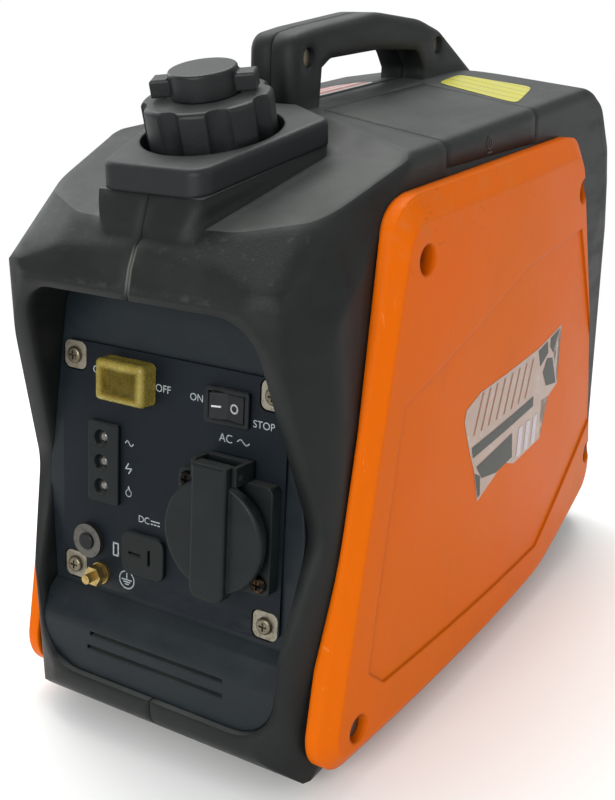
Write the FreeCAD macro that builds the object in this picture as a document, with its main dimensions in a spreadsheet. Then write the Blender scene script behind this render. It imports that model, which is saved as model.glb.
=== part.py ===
"""Small suitcase inverter generator, built as an assembly of separate pieces.

Millimetres, +Z up. The control panel faces -Y, +X is to its right, and the origin is
under the middle of the machine, on the surface that its rubber feet stand on.
"""
import FreeCAD, Part
import math
import os
import re
import Sketcher
from FreeCAD import Placement, Rotation, Vector

# ----------------------------------------------------------------------------------------------
# Driving dimensions: alias and millimetres (or degrees), written to the spreadsheet as they are
# ----------------------------------------------------------------------------------------------
SIZES = {
    # running gaps
    "gap": 0.4, "fit": 0.05, "seam": 0.3,
    # moulded body: side profile along the ridge, from the front foot round to the rear foot
    "wall": 3.2, "body_low": 9,
    "toe_y": -194, "toe_z": 22, "shin_z": 64, "knee_y": -169, "knee_z": 134,
    "lip_y": -195, "lip_z": 238, "brow_y": -192, "brow_z": 249,
    "hood_y": -184.5, "hood_z": 263, "crown_y": -103, "crown_z": 290,
    "ridge_y": -66, "ridge_z": 308.5, "roof_z": 311.5,
    "visor_y": -188, "visor_z": 257, "visor_lean": 40,
    "tail_top_y": 112, "tail_edge_y": 153, "tail_edge_z": 292, "tail_y": 167, "tail_z": 266,
    "heel_y": 196.4, "heel_z": 62, "heel_low_z": 24,
    # moulded body: cross-section and plan
    "half_low": 78, "half_hip": 88, "half_waist": 90.5, "half_shoulder": 86.5, "roof_fall": 13.8,
    "roof_rise": 2.9, "cheek_x": 77, "cheek_y": -189, "cheek_wide": 89, "cheek_back": -164,
    # front opening of the hood
    "mouth_top": 235, "mouth_half_top": 64, "mouth_half_knee": 77, "mouth_half_low": 70,
    "mouth_low": 33, "bulkhead_y": -152,
    # handle
    "grip_half": 13.7, "grip_top": 350, "grip_under": 330, "gap_front": -61, "gap_rear": 52,
    # tilted filler: everything round the fuel cap leans forward about this point
    "filler_y": -128, "filler_z": 291, "filler_tilt": 12.5,
    "bezel_front": 49, "bezel_front_half": 27.5, "bezel_corner": 26, "bezel_half": 46.5,
    "bezel_rear": 42.5, "bezel_rear_half": 18.5, "bezel_low": -1.5, "bezel_top": 10,
    "neck_front": 55.5,
    "filler_hole": 34, "neck_outer": 23, "neck_inner": 19.5, "neck_top": 14,
    "cap_radius": 30.2, "cap_low": -1.5, "cap_height": 27, "cap_bore": 23.6, "cap_depth": 19,
    "scallop": 7.5, "knob_radius": 15.9, "knob_height": 12, "knob_reach": 24,
    # side covers
    "cover_face": 102, "cover_back": 84, "cover_bow": 2500, "cover_wall": 2.6, "cover_bevel": 9,
    "cover_front_low": -190, "cover_low": 13, "cover_front_top": -126.5, "cover_top": 277,
    "cover_tail_top_y": 95.5, "cover_tail_top_z": 282.6, "cover_tail_mid_y": 140.2,
    "cover_tail_mid_z": 160.6, "cover_tail_low_y": 167, "cover_tail_low_z": 42,
    "screw_well": 7.2, "screw_head": 4.6, "screw_shank": 2,
    # control panel, in its own leaning frame
    "panel_y": -173, "panel_z": 139.7, "panel_lean": 5.13, "panel_half_w": 66,
    "panel_half_h": 62.5, "panel_thick": 1.6, "screw_x": 58.1, "screw_v": 54.8, "notch": 15,
    "econ_x": -22.7, "econ_v": 48.2, "engine_x": 34.2, "engine_v": 45.8,
    "rocker_w": 20, "rocker_h": 13, "bezel_w": 24.4, "bezel_h": 17,
    "lamp_x": -40, "lamp_v": 3.9, "lamp_pitch": 12.5, "block_w": 16, "block_h": 41,
    "breaker_x": -48, "breaker_v": -38.8, "earth_x": -41, "earth_v": -55,
    "dc_x": -13, "dc_v": -38.4, "dc_w": 26, "dc_h": 22,
    "ac_x": 38, "ac_v": -11, "ac_half": 26, "lid_radius": 27, "hinge_v": 30, "hinge_out": 13,
    # base
    "tray_half": 70, "tray_front": -150, "tray_rear": 168, "tray_low": 7, "tray_thick": 4,
    "foot_radius": 11, "foot_x": 55, "foot_front": -130, "foot_rear": 140,
    # engine
    "crank_y": 20, "crank_z": 96, "case_left": 0, "case_right": 70, "case_half": 42,
    "bore_x": 36, "bore_radius": 20, "deck_z": 140, "head_z": 192, "fin_half": 34,
    "shaft": 7, "rotor_radius": 42, "fan_radius": 50, "reel_radius": 26, "recoil_radius": 54,
    # openings at the back, in the sides and for the starter grip
    "rear_half": 58, "rear_low": 44, "rear_high": 246, "tail_x": -24, "tail_pipe_z": 150,
    "grip_pocket_y": -13, "grip_pocket_z": 191, "choke_y": 60, "choke_z": 191,
    # handle screws
    "grip_screw_front": -68.7, "grip_screw_rear": 71.6, "grip_screw_z": 330,
    # side cover screws
    "screw_a_y": -107, "screw_a_z": 248.4, "screw_b_y": 93.8, "screw_b_z": 250.4,
    "screw_c_y": 147, "screw_c_z": 68.4, "screw_d_y": -158.5, "screw_d_z": 32.4,
    # tank
    "tank_left": -68, "tank_right": 68, "tank_front": -145, "tank_step": -76, "tank_rear": -22,
    "tank_low": 212, "tank_high": 268, "tank_wall": 2.2, "valve_x": -6, "valve_y": -42,
    # lift-off cover over the spark plug
    "hatch_left": 18.5, "hatch_front": -64, "hatch_rear": 45, "hatch_low": 282,
}

DOC = FreeCAD.newDocument("inverter_generator")
SHEET = DOC.addObject("Spreadsheet::Sheet", "Sizes")
NODES = []


def fill_sheet():
    """One row a dimension: its name in column A and its aliased number in column B."""
    for row, (name, number) in enumerate(SIZES.items(), start=1):
        SHEET.set(f"A{row}", name)
        SHEET.set(f"B{row}", str(number))
        SHEET.setAlias(f"B{row}", name)
    DOC.recompute()


# ----------------------------------------------------------------------------------------------
# Short words for the FreeCAD calls. A size is a formula in the sheet's aliases, or a number
# ----------------------------------------------------------------------------------------------
def formula(size):
    """The FreeCAD expression for a formula written with bare aliases."""
    def cell(match):
        word = match.group(0)
        return "Sizes." + word if word in SIZES else word
    return re.sub(r"[a-z][a-z_]*", cell, str(size))


def value(size):
    return SHEET.evalExpression(formula(size))


def bind(thing, path, size):
    thing.setExpression(path, formula(size))


def bind_base(thing, place):
    for letter, size in zip("xyz", place):
        bind(thing, f"Placement.Base.{letter}", size)
    return thing


def node(piece, label):
    """Names a finished sub-part, and puts it on the list to be written."""
    piece.Label = label
    NODES.append(piece)
    return piece


TURNS = {
    "x": Rotation(Vector(0, 0, 1), Vector(1, 0, 0)),
    "-x": Rotation(Vector(0, 0, 1), Vector(-1, 0, 0)),
    "y": Rotation(Vector(0, 0, 1), Vector(0, 1, 0)),
    "-y": Rotation(Vector(0, 0, 1), Vector(0, -1, 0)),
    "z": Rotation(),
    "-z": Rotation(Vector(1, 0, 0), 180),
}


def box(low, high, name="block"):
    """A block from its low corner to its high corner."""
    piece = DOC.addObject("Part::Box", name)
    for side, start, end in zip(("Length", "Width", "Height"), low, high):
        bind(piece, side, f"({end}) - ({start})")
    return bind_base(piece, low)


def rod(start, axis, radius, length, name="rod"):
    """A cylinder that runs from start along an axis such as "z" or "-y"."""
    piece = DOC.addObject("Part::Cylinder", name)
    bind(piece, "Radius", radius)
    bind(piece, "Height", length)
    piece.Placement = Placement(Vector(), TURNS[axis])
    return bind_base(piece, start)


def taper(start, axis, radius, end_radius, length, name="taper"):
    piece = DOC.addObject("Part::Cone", name)
    bind(piece, "Radius1", radius)
    bind(piece, "Radius2", end_radius)
    bind(piece, "Height", length)
    piece.Placement = Placement(Vector(), TURNS[axis])
    return bind_base(piece, start)


def fuse(*pieces, name="fused"):
    joined = DOC.addObject("Part::MultiFuse", name)
    joined.Shapes = list(pieces)
    joined.Refine = True
    return joined


def common(*pieces, name="shared"):
    shared = DOC.addObject("Part::MultiCommon", name)
    shared.Shapes = list(pieces)
    return shared


def cut(base, *tools, name="cut"):
    result = DOC.addObject("Part::Cut", name)
    result.Base = base
    result.Tool = tools[0] if len(tools) == 1 else fuse(*tools, name="tools")
    return result


def group(*pieces, name="group"):
    """Several like solids that make one node, such as a set of screws."""
    together = DOC.addObject("Part::Compound", name)
    together.Links = list(pieces)
    return together


def ring(start, axis, outer, inner, length, name="ring"):
    return cut(rod(start, axis, outer, length), rod(start, axis, inner, length), name=name)


def mirror(source, name="mirrored"):
    """The same piece on the other side of the machine's middle plane."""
    twin = DOC.addObject("Part::Mirroring", name)
    twin.Source = source
    twin.Normal = Vector(1, 0, 0)
    return twin


def quarter(centre, radius, thickness, turn, name):
    """A quarter of a round bend, turned from the one between +X and +Y about Z."""
    bend = DOC.addObject("Part::Torus", name)
    for prop, size in (("Radius1", radius), ("Radius2", thickness), ("Angle3", "90")):
        bind(bend, prop, size)
    bend.Placement = Placement(Vector(), turn)
    return bind_base(bend, centre)


def soften(base, radius, wanted, name="softened"):
    """Rounds the edges of a finished shape for which wanted(edge) is true."""
    DOC.recompute()
    rounded = DOC.addObject("Part::Fillet", name)
    rounded.Base = base
    size = value(radius)
    picked = [n for n, edge in enumerate(base.Shape.Edges, start=1) if wanted(edge)]
    rounded.Edges = [(n, size, size) for n in picked]
    return rounded


def middle(edge):
    return edge.valueAt((edge.FirstParameter + edge.LastParameter) / 2)


def along(edge, axis, limit=0.99):
    """True for an edge that runs along an axis at its middle."""
    tangent = edge.tangentAt((edge.FirstParameter + edge.LastParameter) / 2)
    return abs(tangent.dot(axis)) > limit


X_AXIS, Y_AXIS, Z_AXIS = Vector(1, 0, 0), Vector(0, 1, 0), Vector(0, 0, 1)
UP_FROM_PLUS_X = Rotation(X_AXIS, 90)


class Prism:
    """A PartDesign body: a polygon on one origin plane, padded, with rounded corners.

    On "XY" the pad rises from z = start, on "YZ" it runs to +X from x = start, and on "XZ"
    it runs to +Y from y = start. corners are pairs of formulas in the plane's own axes.
    """
    NORMAL = {"XY": Z_AXIS, "YZ": X_AXIS, "XZ": Y_AXIS}

    def __init__(self, plane, corners, start, length, name="prism"):
        self.plane = plane
        self.corners = corners
        self.body = DOC.addObject("PartDesign::Body", name)
        role = plane + "_Plane"
        origin_plane = next(f for f in self.body.Origin.OriginFeatures if f.Role == role)
        sketch = self.body.newObject("Sketcher::SketchObject", name + "_outline")
        sketch.AttachmentSupport = [(origin_plane, "")]
        sketch.MapMode = "FlatFace"
        sign = "-" if plane == "XZ" else ""
        bind(sketch, "AttachmentOffset.Base.z", f"{sign}({start})")
        self.draw(sketch)
        pad = self.body.newObject("PartDesign::Pad", name + "_pad")
        pad.Profile = sketch
        pad.Reversed = plane == "XZ"
        bind(pad, "Length", length)
        DOC.recompute()

    def draw(self, sketch):
        """Closed polygon whose every corner is held by two driven distances."""
        spots = [Vector(value(u), value(v), 0) for u, v in self.corners]
        count = len(spots)
        for n in range(count):
            sketch.addGeometry(Part.LineSegment(spots[n], spots[(n + 1) % count]), False)
        for n in range(count):
            sketch.addConstraint(Sketcher.Constraint("Coincident", n, 2, (n + 1) % count, 1))
        for n, (u, v) in enumerate(self.corners):
            for kind, size, number in (("DistanceX", u, spots[n].x), ("DistanceY", v, spots[n].y)):
                index = sketch.addConstraint(Sketcher.Constraint(kind, -1, 1, n, 1, number))
                bind(sketch, f"Constraints[{index}]", size)

    def flat(self, point):
        return {"XY": (point.x, point.y), "YZ": (point.y, point.z),
                "XZ": (point.x, point.z)}[self.plane]

    def round(self, radius, *which):
        """Rounds the corners of the outline with these indices."""
        spots = [(value(self.corners[n][0]), value(self.corners[n][1])) for n in which]

        def wanted(edge):
            here = self.flat(middle(edge))
            return along(edge, self.NORMAL[self.plane]) and any(
                math.dist(here, spot) < 0.01 for spot in spots)
        return self.dress("PartDesign::Fillet", "Radius", radius, wanted)

    def dress(self, kind, prop, size, wanted):
        """Adds a fillet or a chamfer on the edges for which wanted(edge) is true."""
        tip = self.body.Tip
        picked = [f"Edge{n}" for n, edge in enumerate(tip.Shape.Edges, start=1) if wanted(edge)]
        feature = self.body.newObject(kind, self.body.Name + "_dress")
        feature.Base = (tip, picked)
        bind(feature, prop, size)
        DOC.recompute()
        return self


def both_sides(half):
    """A closed outline from the corners of its right half, listed from one end to the other."""
    left = [(f"-({u})", v) for u, v in reversed(half) if str(u) != "0"]
    return half + left


# ----------------------------------------------------------------------------------------------
# Moulded body halves
# ----------------------------------------------------------------------------------------------
def body_block(inset, name):
    """The body's outer form, or the same form with every face moved in by inset."""
    inset = f"({inset})"
    side = Prism("YZ", [
        (f"toe_y + 13 + {inset}", f"body_low + {inset}"), (f"toe_y + {inset}", f"toe_z + {inset}"),
        (f"toe_y - 1 + {inset}", "shin_z"), (f"knee_y + {inset}", "knee_z"),
        (f"lip_y + {inset}", f"lip_z - {inset}"), (f"brow_y + {inset}", f"brow_z - {inset} / 2"),
        (f"hood_y + {inset}", f"hood_z - {inset}"), (f"crown_y + {inset}", f"crown_z - {inset}"),
        (f"ridge_y + {inset} / 2", f"ridge_z - {inset}"),
        (f"tail_top_y - {inset}", f"roof_z + 3 - {inset}"),
        (f"tail_edge_y - {inset}", f"tail_edge_z - {inset}"),
        (f"tail_y - {inset}", f"tail_z - {inset}"), (f"heel_y - {inset}", f"heel_z + {inset}"),
        (f"heel_y - 1 - {inset}", f"heel_low_z + {inset}"),
        (f"heel_y - 14 - {inset}", f"body_low + {inset}")], "-100", "200", name + "_side")
    side.round("12", 1)
    side.round("24", 2, 3, 12)
    side.round("18", 5, 10, 11)
    side.round("14", 6)
    side.round("30", 7, 8, 9)
    section = Prism("XZ", both_sides([
        ("0", f"-{inset}"), (f"half_shoulder - {inset}", f"-roof_fall - {inset}"),
        (f"half_waist - {inset}", "-160"), (f"half_hip - {inset}", "-275"),
        (f"half_low - {inset}", f"-309 + {inset}")]), "-240", "480", name + "_section")
    section.round("120", 0)
    section.round("6", 1, 8)
    section.body.Placement = Placement(Vector(), Rotation(X_AXIS, value("roof_rise")))
    bind(section.body, "Placement.Base.z", "roof_z")
    plan = Prism("XY", both_sides([
        ("0", f"lip_y - 1.5 + {inset}"), (f"cheek_x - 16 - {inset}", f"lip_y + {inset}"),
        (f"cheek_x - {inset}", f"cheek_y + {inset}"),
        (f"cheek_wide - {inset}", f"cheek_back + {inset}"),
        (f"half_waist + 1 - {inset}", "-100"), (f"half_waist + 1 - {inset}", "100"),
        (f"half_hip - {inset}", f"heel_y - 22 - {inset}"),
        (f"half_hip - 16 - {inset}", f"heel_y - 2 - {inset}"),
        ("0", f"heel_y - {inset}")]), "0", "330", name + "_plan")
    plan.round("14", 7, 9)
    plan.round("9", 2, 14)
    plan.round("22", 3, 13)
    return common(side.body, section.body, plan.body, visor(inset, name + "_visor"), name=name)


def visor(inset, name):
    """Long leaning prism whose rounded top edges are the hood's shoulders."""
    outline = Prism("XZ", both_sides([
        ("0", f"-{inset}"), (f"45 - {inset}", f"-1.5 - {inset}"), (f"77 - {inset}", f"-8 - {inset}"),
        ("98.5", "-62"), ("98.5", "-470")]),
        "-260", "680", name)
    outline.round("60", 1, 8)
    outline.round("14", 2, 7)
    outline.body.Placement = Placement(Vector(), Rotation(X_AXIS, value("visor_lean")))
    bind(outline.body, "Placement.Rotation.Angle", "visor_lean")
    return bind_base(outline.body, ("0", "visor_y", "visor_z"))


def handle_block():
    """Carrying handle: an arch on the ridge with a hand gap under it."""
    arch = Prism("YZ", [
        ("-84.5", "crown_z - 2"), ("-81", "grip_top - 9"), ("-60", "grip_top - 6"), ("2", "grip_top"),
        ("52", "grip_top - 5"), ("76", "grip_top - 11.5"), ("132", "308"), ("150", "290")],
        "-grip_half", "grip_half * 2", "handle_arch")
    arch.round("9", 1)
    arch.round("60", 2, 3, 4)
    arch.round("24", 5)
    hole = Prism("YZ", [
        ("gap_front", "296"), ("gap_front + 4", "grip_under - 5"), ("gap_front + 12", "grip_under - 1"),
        ("0", "grip_under + 1"), ("gap_rear - 6", "grip_under - 1"), ("gap_rear + 2", "grip_under - 12"),
        ("gap_rear", "296")], "-40", "80", "hand_gap")
    hole.round("8", 2, 4)
    opened = cut(arch.body, hole.body, name="handle_open")
    long_edges = soften(opened, "4.5", lambda e: abs(abs(middle(e).x) - value("grip_half")) < 0.01
                        and middle(e).z > value("grip_under") + 2, name="handle_soft")
    return long_edges


def tilt(piece):
    """Leans a piece made upright about the filler's own centre line."""
    leaning = group(piece, name="leaning")
    leaning.Placement = Placement(Vector(), Rotation(X_AXIS, value("filler_tilt")))
    bind(leaning, "Placement.Rotation.Angle", "filler_tilt")
    return bind_base(leaning, ("0", "filler_y", "filler_z"))


def column(front, inset, name):
    """Upright six-sided column round the filler; front is how far it reaches forward."""
    inset = f"({inset})"
    outline = Prism("XY", both_sides([
        (f"bezel_front_half - {inset}", f"filler_y - {front} + {inset}"),
        (f"bezel_half - {inset}", "filler_y + bezel_corner"),
        (f"bezel_rear_half - {inset}", f"filler_y + bezel_rear - {inset}")]), "240", "100", name)
    outline.round("10", 0, 5)
    return outline.round("6", 1, 4).body


def leaning_slab(low, high, name):
    """Everything between two levels of the leaning filler."""
    return tilt(box(("-90", "-90", low), ("90", "90", high), name=name))


def mouth_outline(inset):
    """The front opening: rounded at the top, widest at the knee, narrower at the foot."""
    inset = f"({inset})"
    return both_sides([
        (f"mouth_half_low - {inset}", f"mouth_low + {inset}"),
        (f"mouth_half_knee - {inset}", "knee_z - 4"),
        (f"mouth_half_top - {inset}", f"mouth_top - {inset}")])


def cover_outline(inset):
    """Side cover outline in Y and Z, from the front foot over the top to the rear foot."""
    inset = f"({inset})"
    return [
        (f"cover_front_low + {inset} * 1.5", f"cover_low + {inset}"),
        (f"cover_front_top + {inset}", f"cover_top - {inset}"),
        (f"cover_tail_top_y - {inset}", f"cover_tail_top_z - {inset}"),
        (f"cover_tail_mid_y - {inset}", "cover_tail_mid_z"),
        (f"cover_tail_low_y - {inset}", f"cover_tail_low_z + {inset} / 2"),
        ("60", f"cover_low + {inset}")]


def hatch_block(shrink):
    """Corner of the roof, from beside the handle over the edge and down the right side."""
    shrink = f"({shrink})"
    return box((f"hatch_left + {shrink}", f"hatch_front + {shrink}", f"hatch_low + {shrink}"),
               ("120", f"hatch_rear - {shrink}", "360"), name="hatch_region")


def skin(inset, name):
    """The body's wall, solid in the hood in front of the bulkhead."""
    room = common(body_block(inset, name + "_room"),
                  box(("-120", "bulkhead_y", "0"), ("120", "200", "400")))
    return cut(body_block("0", name + "_form"), room, name=name)


def filler_neck():
    """Raised foot of the filler, its front leaning out to meet the hood."""
    form = Prism("YZ", [("-184", "250"), ("-184", "261.5"), ("filler_y - bezel_front + 0.4", "279"),
                        ("filler_y - bezel_front + 0.4", "330"), ("-60", "330"), ("-60", "250")],
                 "-60", "120", "neck_form")
    room = fuse(box(("-60", "-200", "250"), ("60", "bulkhead_y", "330")),
                box(("-60", "-200", "tank_high + 5"), ("60", "-60", "330")))
    return common(column("neck_front", "0.4", "neck_column"), form.body, room,
                  leaning_slab("-70", "bezel_low", "neck_slab"), name="filler_neck")


def handle_bores(radius, start, length):
    return [rod((start, y, "grip_screw_z"), "x", radius, length)
            for y in ("grip_screw_front", "grip_screw_rear")]


def cover_screw_places():
    return [(f"screw_{n}_y", f"screw_{n}_z") for n in "abcd"]


def whole_body():
    """Both body halves before they are parted: a hollow block with its openings."""
    solid = fuse(skin("wall", "body"), filler_neck(), hatch_ledge(), handle_block(), name="body_handled")
    mouth = Prism("XZ", mouth_outline("0"), "-260", "130", "mouth")
    mouth.round("24", 0, 5)
    mouth.round("60", 1, 4)
    mouth.round("20", 2, 3)
    window = Prism("YZ", [("-112", "46"), ("-92", "216"), ("94", "226"), ("124", "60"), ("90", "38"),
                          ("-70", "38")], "-150", "300", "side_window")
    rear = box(("-rear_half", "120", "rear_low"), ("rear_half", "240", "rear_high"))
    floor = box(("-tray_half - gap", "tray_front - gap", "0"),
                ("tray_half + gap", "tray_rear + gap", "20"))
    filler = tilt(rod(("0", "0", "-60"), "z", "filler_hole", "100"))
    notch = common(column("bezel_front", "-gap", "notch_column"),
                   leaning_slab("bezel_low", "60", "notch_slab"))
    bores = handle_bores("screw_head + 0.6", "grip_half - 5", "20")
    bores += handle_bores("screw_shank", "-grip_half + 3", "40")
    bores += [rod(("-100", y, z), "x", "screw_shank", "200") for y, z in cover_screw_places()]
    return cut(solid, mouth.body, window.body, rear, floor, filler, notch, hatch_cutout(), *bores,
               name="body_opened")


def hatch_cutout():
    return cut(hatch_block("0"), body_block("wall", "hatch_depth"), name="hatch_opening")


def hatch_ledge():
    """Rim inside the roof that the spark plug hatch lies on."""
    rim = cut(hatch_block("-4"), hatch_block("6"))
    layer = cut(body_block("wall", "ledge_top"), body_block("wall + 2.5", "ledge_under"))
    return common(rim, layer, name="ledge")


def body_halves():
    whole = whole_body()
    right = common(whole, box(("seam", "-300", "-10"), ("200", "300", "400")))
    left = common(whole, box(("-200", "-300", "-10"), ("-seam", "300", "400")))
    node(left, "left_body_half")
    node(right, "right_body_half")


def handle_screws():
    heads = handle_bores("screw_head", "grip_half - 5", "2.4")
    shanks = handle_bores("screw_shank", "-grip_half + 3", "2 * grip_half - 8")
    node(group(*[fuse(head, shank) for head, shank in zip(heads, shanks)]), "handle_screws")


def plug_hatch():
    lid = cut(body_block("0", "hatch"), body_block("wall - gap", "hatch_under"))
    node(common(lid, hatch_block("gap")), "spark_plug_hatch")


def rear_grille():
    """Louvred rear panel, with a round way out for the exhaust."""
    region = box(("-rear_half + gap", "120", "rear_low + gap"),
                 ("rear_half - gap", "240", "rear_high - gap"))
    panel = common(skin("wall + 0.8", "rear_skin"), region)
    slots = [box(("-rear_half + 12", "100", f"rear_low + 12 + {n} * 12"),
                 ("rear_half - 12", "240", f"rear_low + 17 + {n} * 12")) for n in range(15)]
    bars = [box((f"{x} - 1.5", "100", "0"), (f"{x} + 1.5", "240", "300")) for x in (-23, 23)]
    boss = common(rod(("tail_x", "100", "tail_pipe_z"), "y", "20", "140"), panel)
    louvres = cut(panel, cut(fuse(*slots), *bars))
    node(cut(fuse(louvres, boss), rod(("tail_x", "100", "tail_pipe_z"), "y", "13", "140")),
         "rear_grille")


# ----------------------------------------------------------------------------------------------
# Side covers
# ----------------------------------------------------------------------------------------------
def bow(inset, name="bow"):
    """A very large cylinder whose +X side is the cover's gently bowed face."""
    return rod((f"cover_face - cover_bow - {inset}", "-10", "-100"), "z", "cover_bow", "500", name)


def cover_form(inset, bevel, name):
    outline = Prism("YZ", cover_outline(inset), "cover_back", "40", name)
    outline.round(f"22 - {inset}", 0)
    outline.round(f"26 - {inset}", 1, 2)
    outline.round("150", 3, 5)
    outline.round("26", 4)
    bowed = common(outline.body, bow(inset, name + "_bow"), name=name + "_bowed")
    DOC.recompute()
    size = value(bevel)

    def on_face(edge):
        here = middle(edge)
        centre = value(f"cover_face - cover_bow - {inset}")
        reach = math.hypot(here.x - centre, here.y + 10)
        return abs(reach - value("cover_bow")) < 0.01 and here.x > value("cover_back") + 1
    bevelled = DOC.addObject("Part::Chamfer", name + "_bevelled")
    bevelled.Base = bowed
    picked = [n for n, edge in enumerate(bowed.Shape.Edges, start=1) if on_face(edge)]
    bevelled.Edges = [(n, size * 0.62, size) for n in picked]
    return bevelled


def side_cover():
    """Hollow bowed cover on the right side, with its sunk panel and its screw wells."""
    outer = cover_form("0", "cover_bevel", "cover")
    room = cut(cover_form("cover_wall", "cover_bevel", "cover_room"),
               *[rod(("cover_back - 1", y, z), "x", "screw_well + 2.4", "40")
                 for y, z in cover_screw_places()])
    recess = Prism("YZ", [("-150", "58"), ("-124", "183"), ("8", "222"), ("96", "228"),
                          ("136", "150"), ("148", "92"), ("52", "40"), ("-136", "46")],
                   "80", "60", "cover_recess")
    panel = cut(recess.body, bow("1.2", "recess_floor"))
    wells = [rod(("cover_face - 11", y, z), "x", "screw_well", "40")
             for y, z in cover_screw_places()]
    holes = [rod(("60", y, z), "x", "screw_shank + 0.3", "70") for y, z in cover_screw_places()]
    return cut(outer, room, panel, body_block("-0.6", "cover_seat"), *wells, *holes,
               name="right_cover")


def side_covers():
    """Screwed-on bowed covers; the left one has the starter grip's and choke's openings."""
    cover = side_cover()
    twin = mirror(cover)
    node(cover, "right_side_cover")
    cup = box(("-100", "grip_pocket_y - 24", "grip_pocket_z - 18"),
              ("-88", "grip_pocket_y + 24", "grip_pocket_z + 18"))
    pocket = box(("-120", "grip_pocket_y - 22", "grip_pocket_z - 16"),
                 ("-90", "grip_pocket_y + 22", "grip_pocket_z + 16"))
    rope_way = rod(("-95", "grip_pocket_y", "grip_pocket_z"), "x", "4", "20")
    boss = rod(("-99.3", "choke_y", "choke_z"), "x", "15", "9.8")
    well = rod(("-120", "choke_y", "choke_z"), "x", "12.5", "27.5")
    pivot = rod(("-100", "choke_y", "choke_z"), "x", "3 + fit", "20")
    node(cut(fuse(twin, cup, boss), pocket, rope_way, well, pivot), "left_side_cover")
    node(group(*cover_screws()), "side_cover_screws")


def cover_screws():
    screws = []
    for y, z in cover_screw_places():
        head = fuse(rod(("cover_face - 10.9", y, z), "x", "screw_head + 1.4", "0.9"),
                    rod(("cover_face - 10", y, z), "x", "screw_head", "2.6"))
        screw = fuse(head, rod(("80", y, z), "x", "screw_shank", "cover_face - 90"))
        screws += [screw, mirror(screw)]
    return screws


# ----------------------------------------------------------------------------------------------
# Filler: bezel, cap and tank
# ----------------------------------------------------------------------------------------------
def bezel():
    block = common(column("bezel_front", "0", "bezel_column"),
                   leaning_slab("bezel_low + 0.1", "bezel_top", "bezel_slab"))
    lean = math.radians(value("filler_tilt"))

    def on_top(edge):
        here = middle(edge) - Vector(0, value("filler_y"), value("filler_z"))
        return abs(here.z * math.cos(lean) - here.y * math.sin(lean) - value("bezel_top")) < 0.01
    node(cut(soften(block, "2.8", on_top), tilt(rod(("0", "0", "-30"), "z", "filler_hole - 0.6", "60"))),
         "filler_bezel")


def fuel_cap():
    """Scalloped screw cap with its bore, and the vent knob's stem hole."""
    count = 8
    grooves = [rod((f"(cap_radius + 4.2) * cos({360 / count * n})",
                    f"(cap_radius + 4.2) * sin({360 / count * n})", "-5"), "z", "scallop", "60")
               for n in range(count)]
    crown = soften(rod(("0", "0", "cap_low"), "z", "cap_radius", "cap_height - cap_low"), "2.4",
                   lambda edge: middle(edge).z > value("cap_height") - 0.1)
    bore = rod(("0", "0", "-5"), "z", "cap_bore", "cap_depth + 5")
    stem = rod(("0", "0", "0"), "z", "4 + fit", "60")
    node(tilt(cut(crown, *grooves, bore, stem)), "fuel_cap")


def vent_knob():
    """Vent knob: a thick disc with two ears, turning on a stem in the cap."""
    low = "cap_height + 0.4"
    disc = rod(("0", "0", low), "z", "knob_radius", "knob_height")
    ears = box(("-knob_reach", "-5.5", "cap_height + 1.5"), ("knob_reach", "5.5", "cap_height + 9.4"))
    solid = soften(fuse(disc, ears), "1.4", lambda edge: middle(edge).z > value("cap_height") + 9)
    turned = fuse(solid, rod(("0", "0", "cap_depth + 0.5"), "z", "4", "10"))
    turned.Placement = Placement(Vector(), Rotation(Z_AXIS, 25))
    node(tilt(turned), "vent_knob")


def tank_outline(inset):
    inset = f"({inset})"
    return [(f"tank_left + {inset}", f"tank_front + {inset}"),
            (f"tank_right - {inset}", f"tank_front + {inset}"),
            (f"tank_right - {inset}", f"tank_step - {inset}"),
            (f"8 - {inset}", f"tank_step - {inset}"), (f"8 - {inset}", f"tank_rear - {inset}"),
            (f"tank_left + {inset}", f"tank_rear - {inset}")]


def fuel_tank():
    """Hollow tank under the hood, with its leaning neck and the outlet in its floor."""
    outer = Prism("XY", tank_outline("0"), "tank_low", "tank_high - tank_low", "tank")
    outer.round("11", 0, 1, 2, 4, 5)
    outer.dress("PartDesign::Fillet", "Radius", "5", lambda edge: not along(edge, Z_AXIS, 0.5))
    inner = Prism("XY", tank_outline("tank_wall"), "tank_low + tank_wall",
                  "tank_high - tank_low - 2 * tank_wall", "tank_inside")
    inner.round("9", 0, 1, 2, 4, 5)
    neck = fuse(tilt(rod(("0", "0", "-31"), "z", "neck_outer", "neck_top + 31")),
                tilt(rod(("0", "0", "-9"), "z", "filler_hole - 1", "3")))
    throat = tilt(rod(("0", "0", "-60"), "z", "neck_inner", "neck_top + 61"))
    throat_room = cut(throat, box(("-60", "-220", "100"), ("60", "0", "tank_low + 3")))
    outlet = rod(("valve_x", "valve_y", "tank_low - 5"), "z", "2", "20")
    node(cut(fuse(outer.body, neck), inner.body, throat_room, outlet), "fuel_tank")


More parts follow.
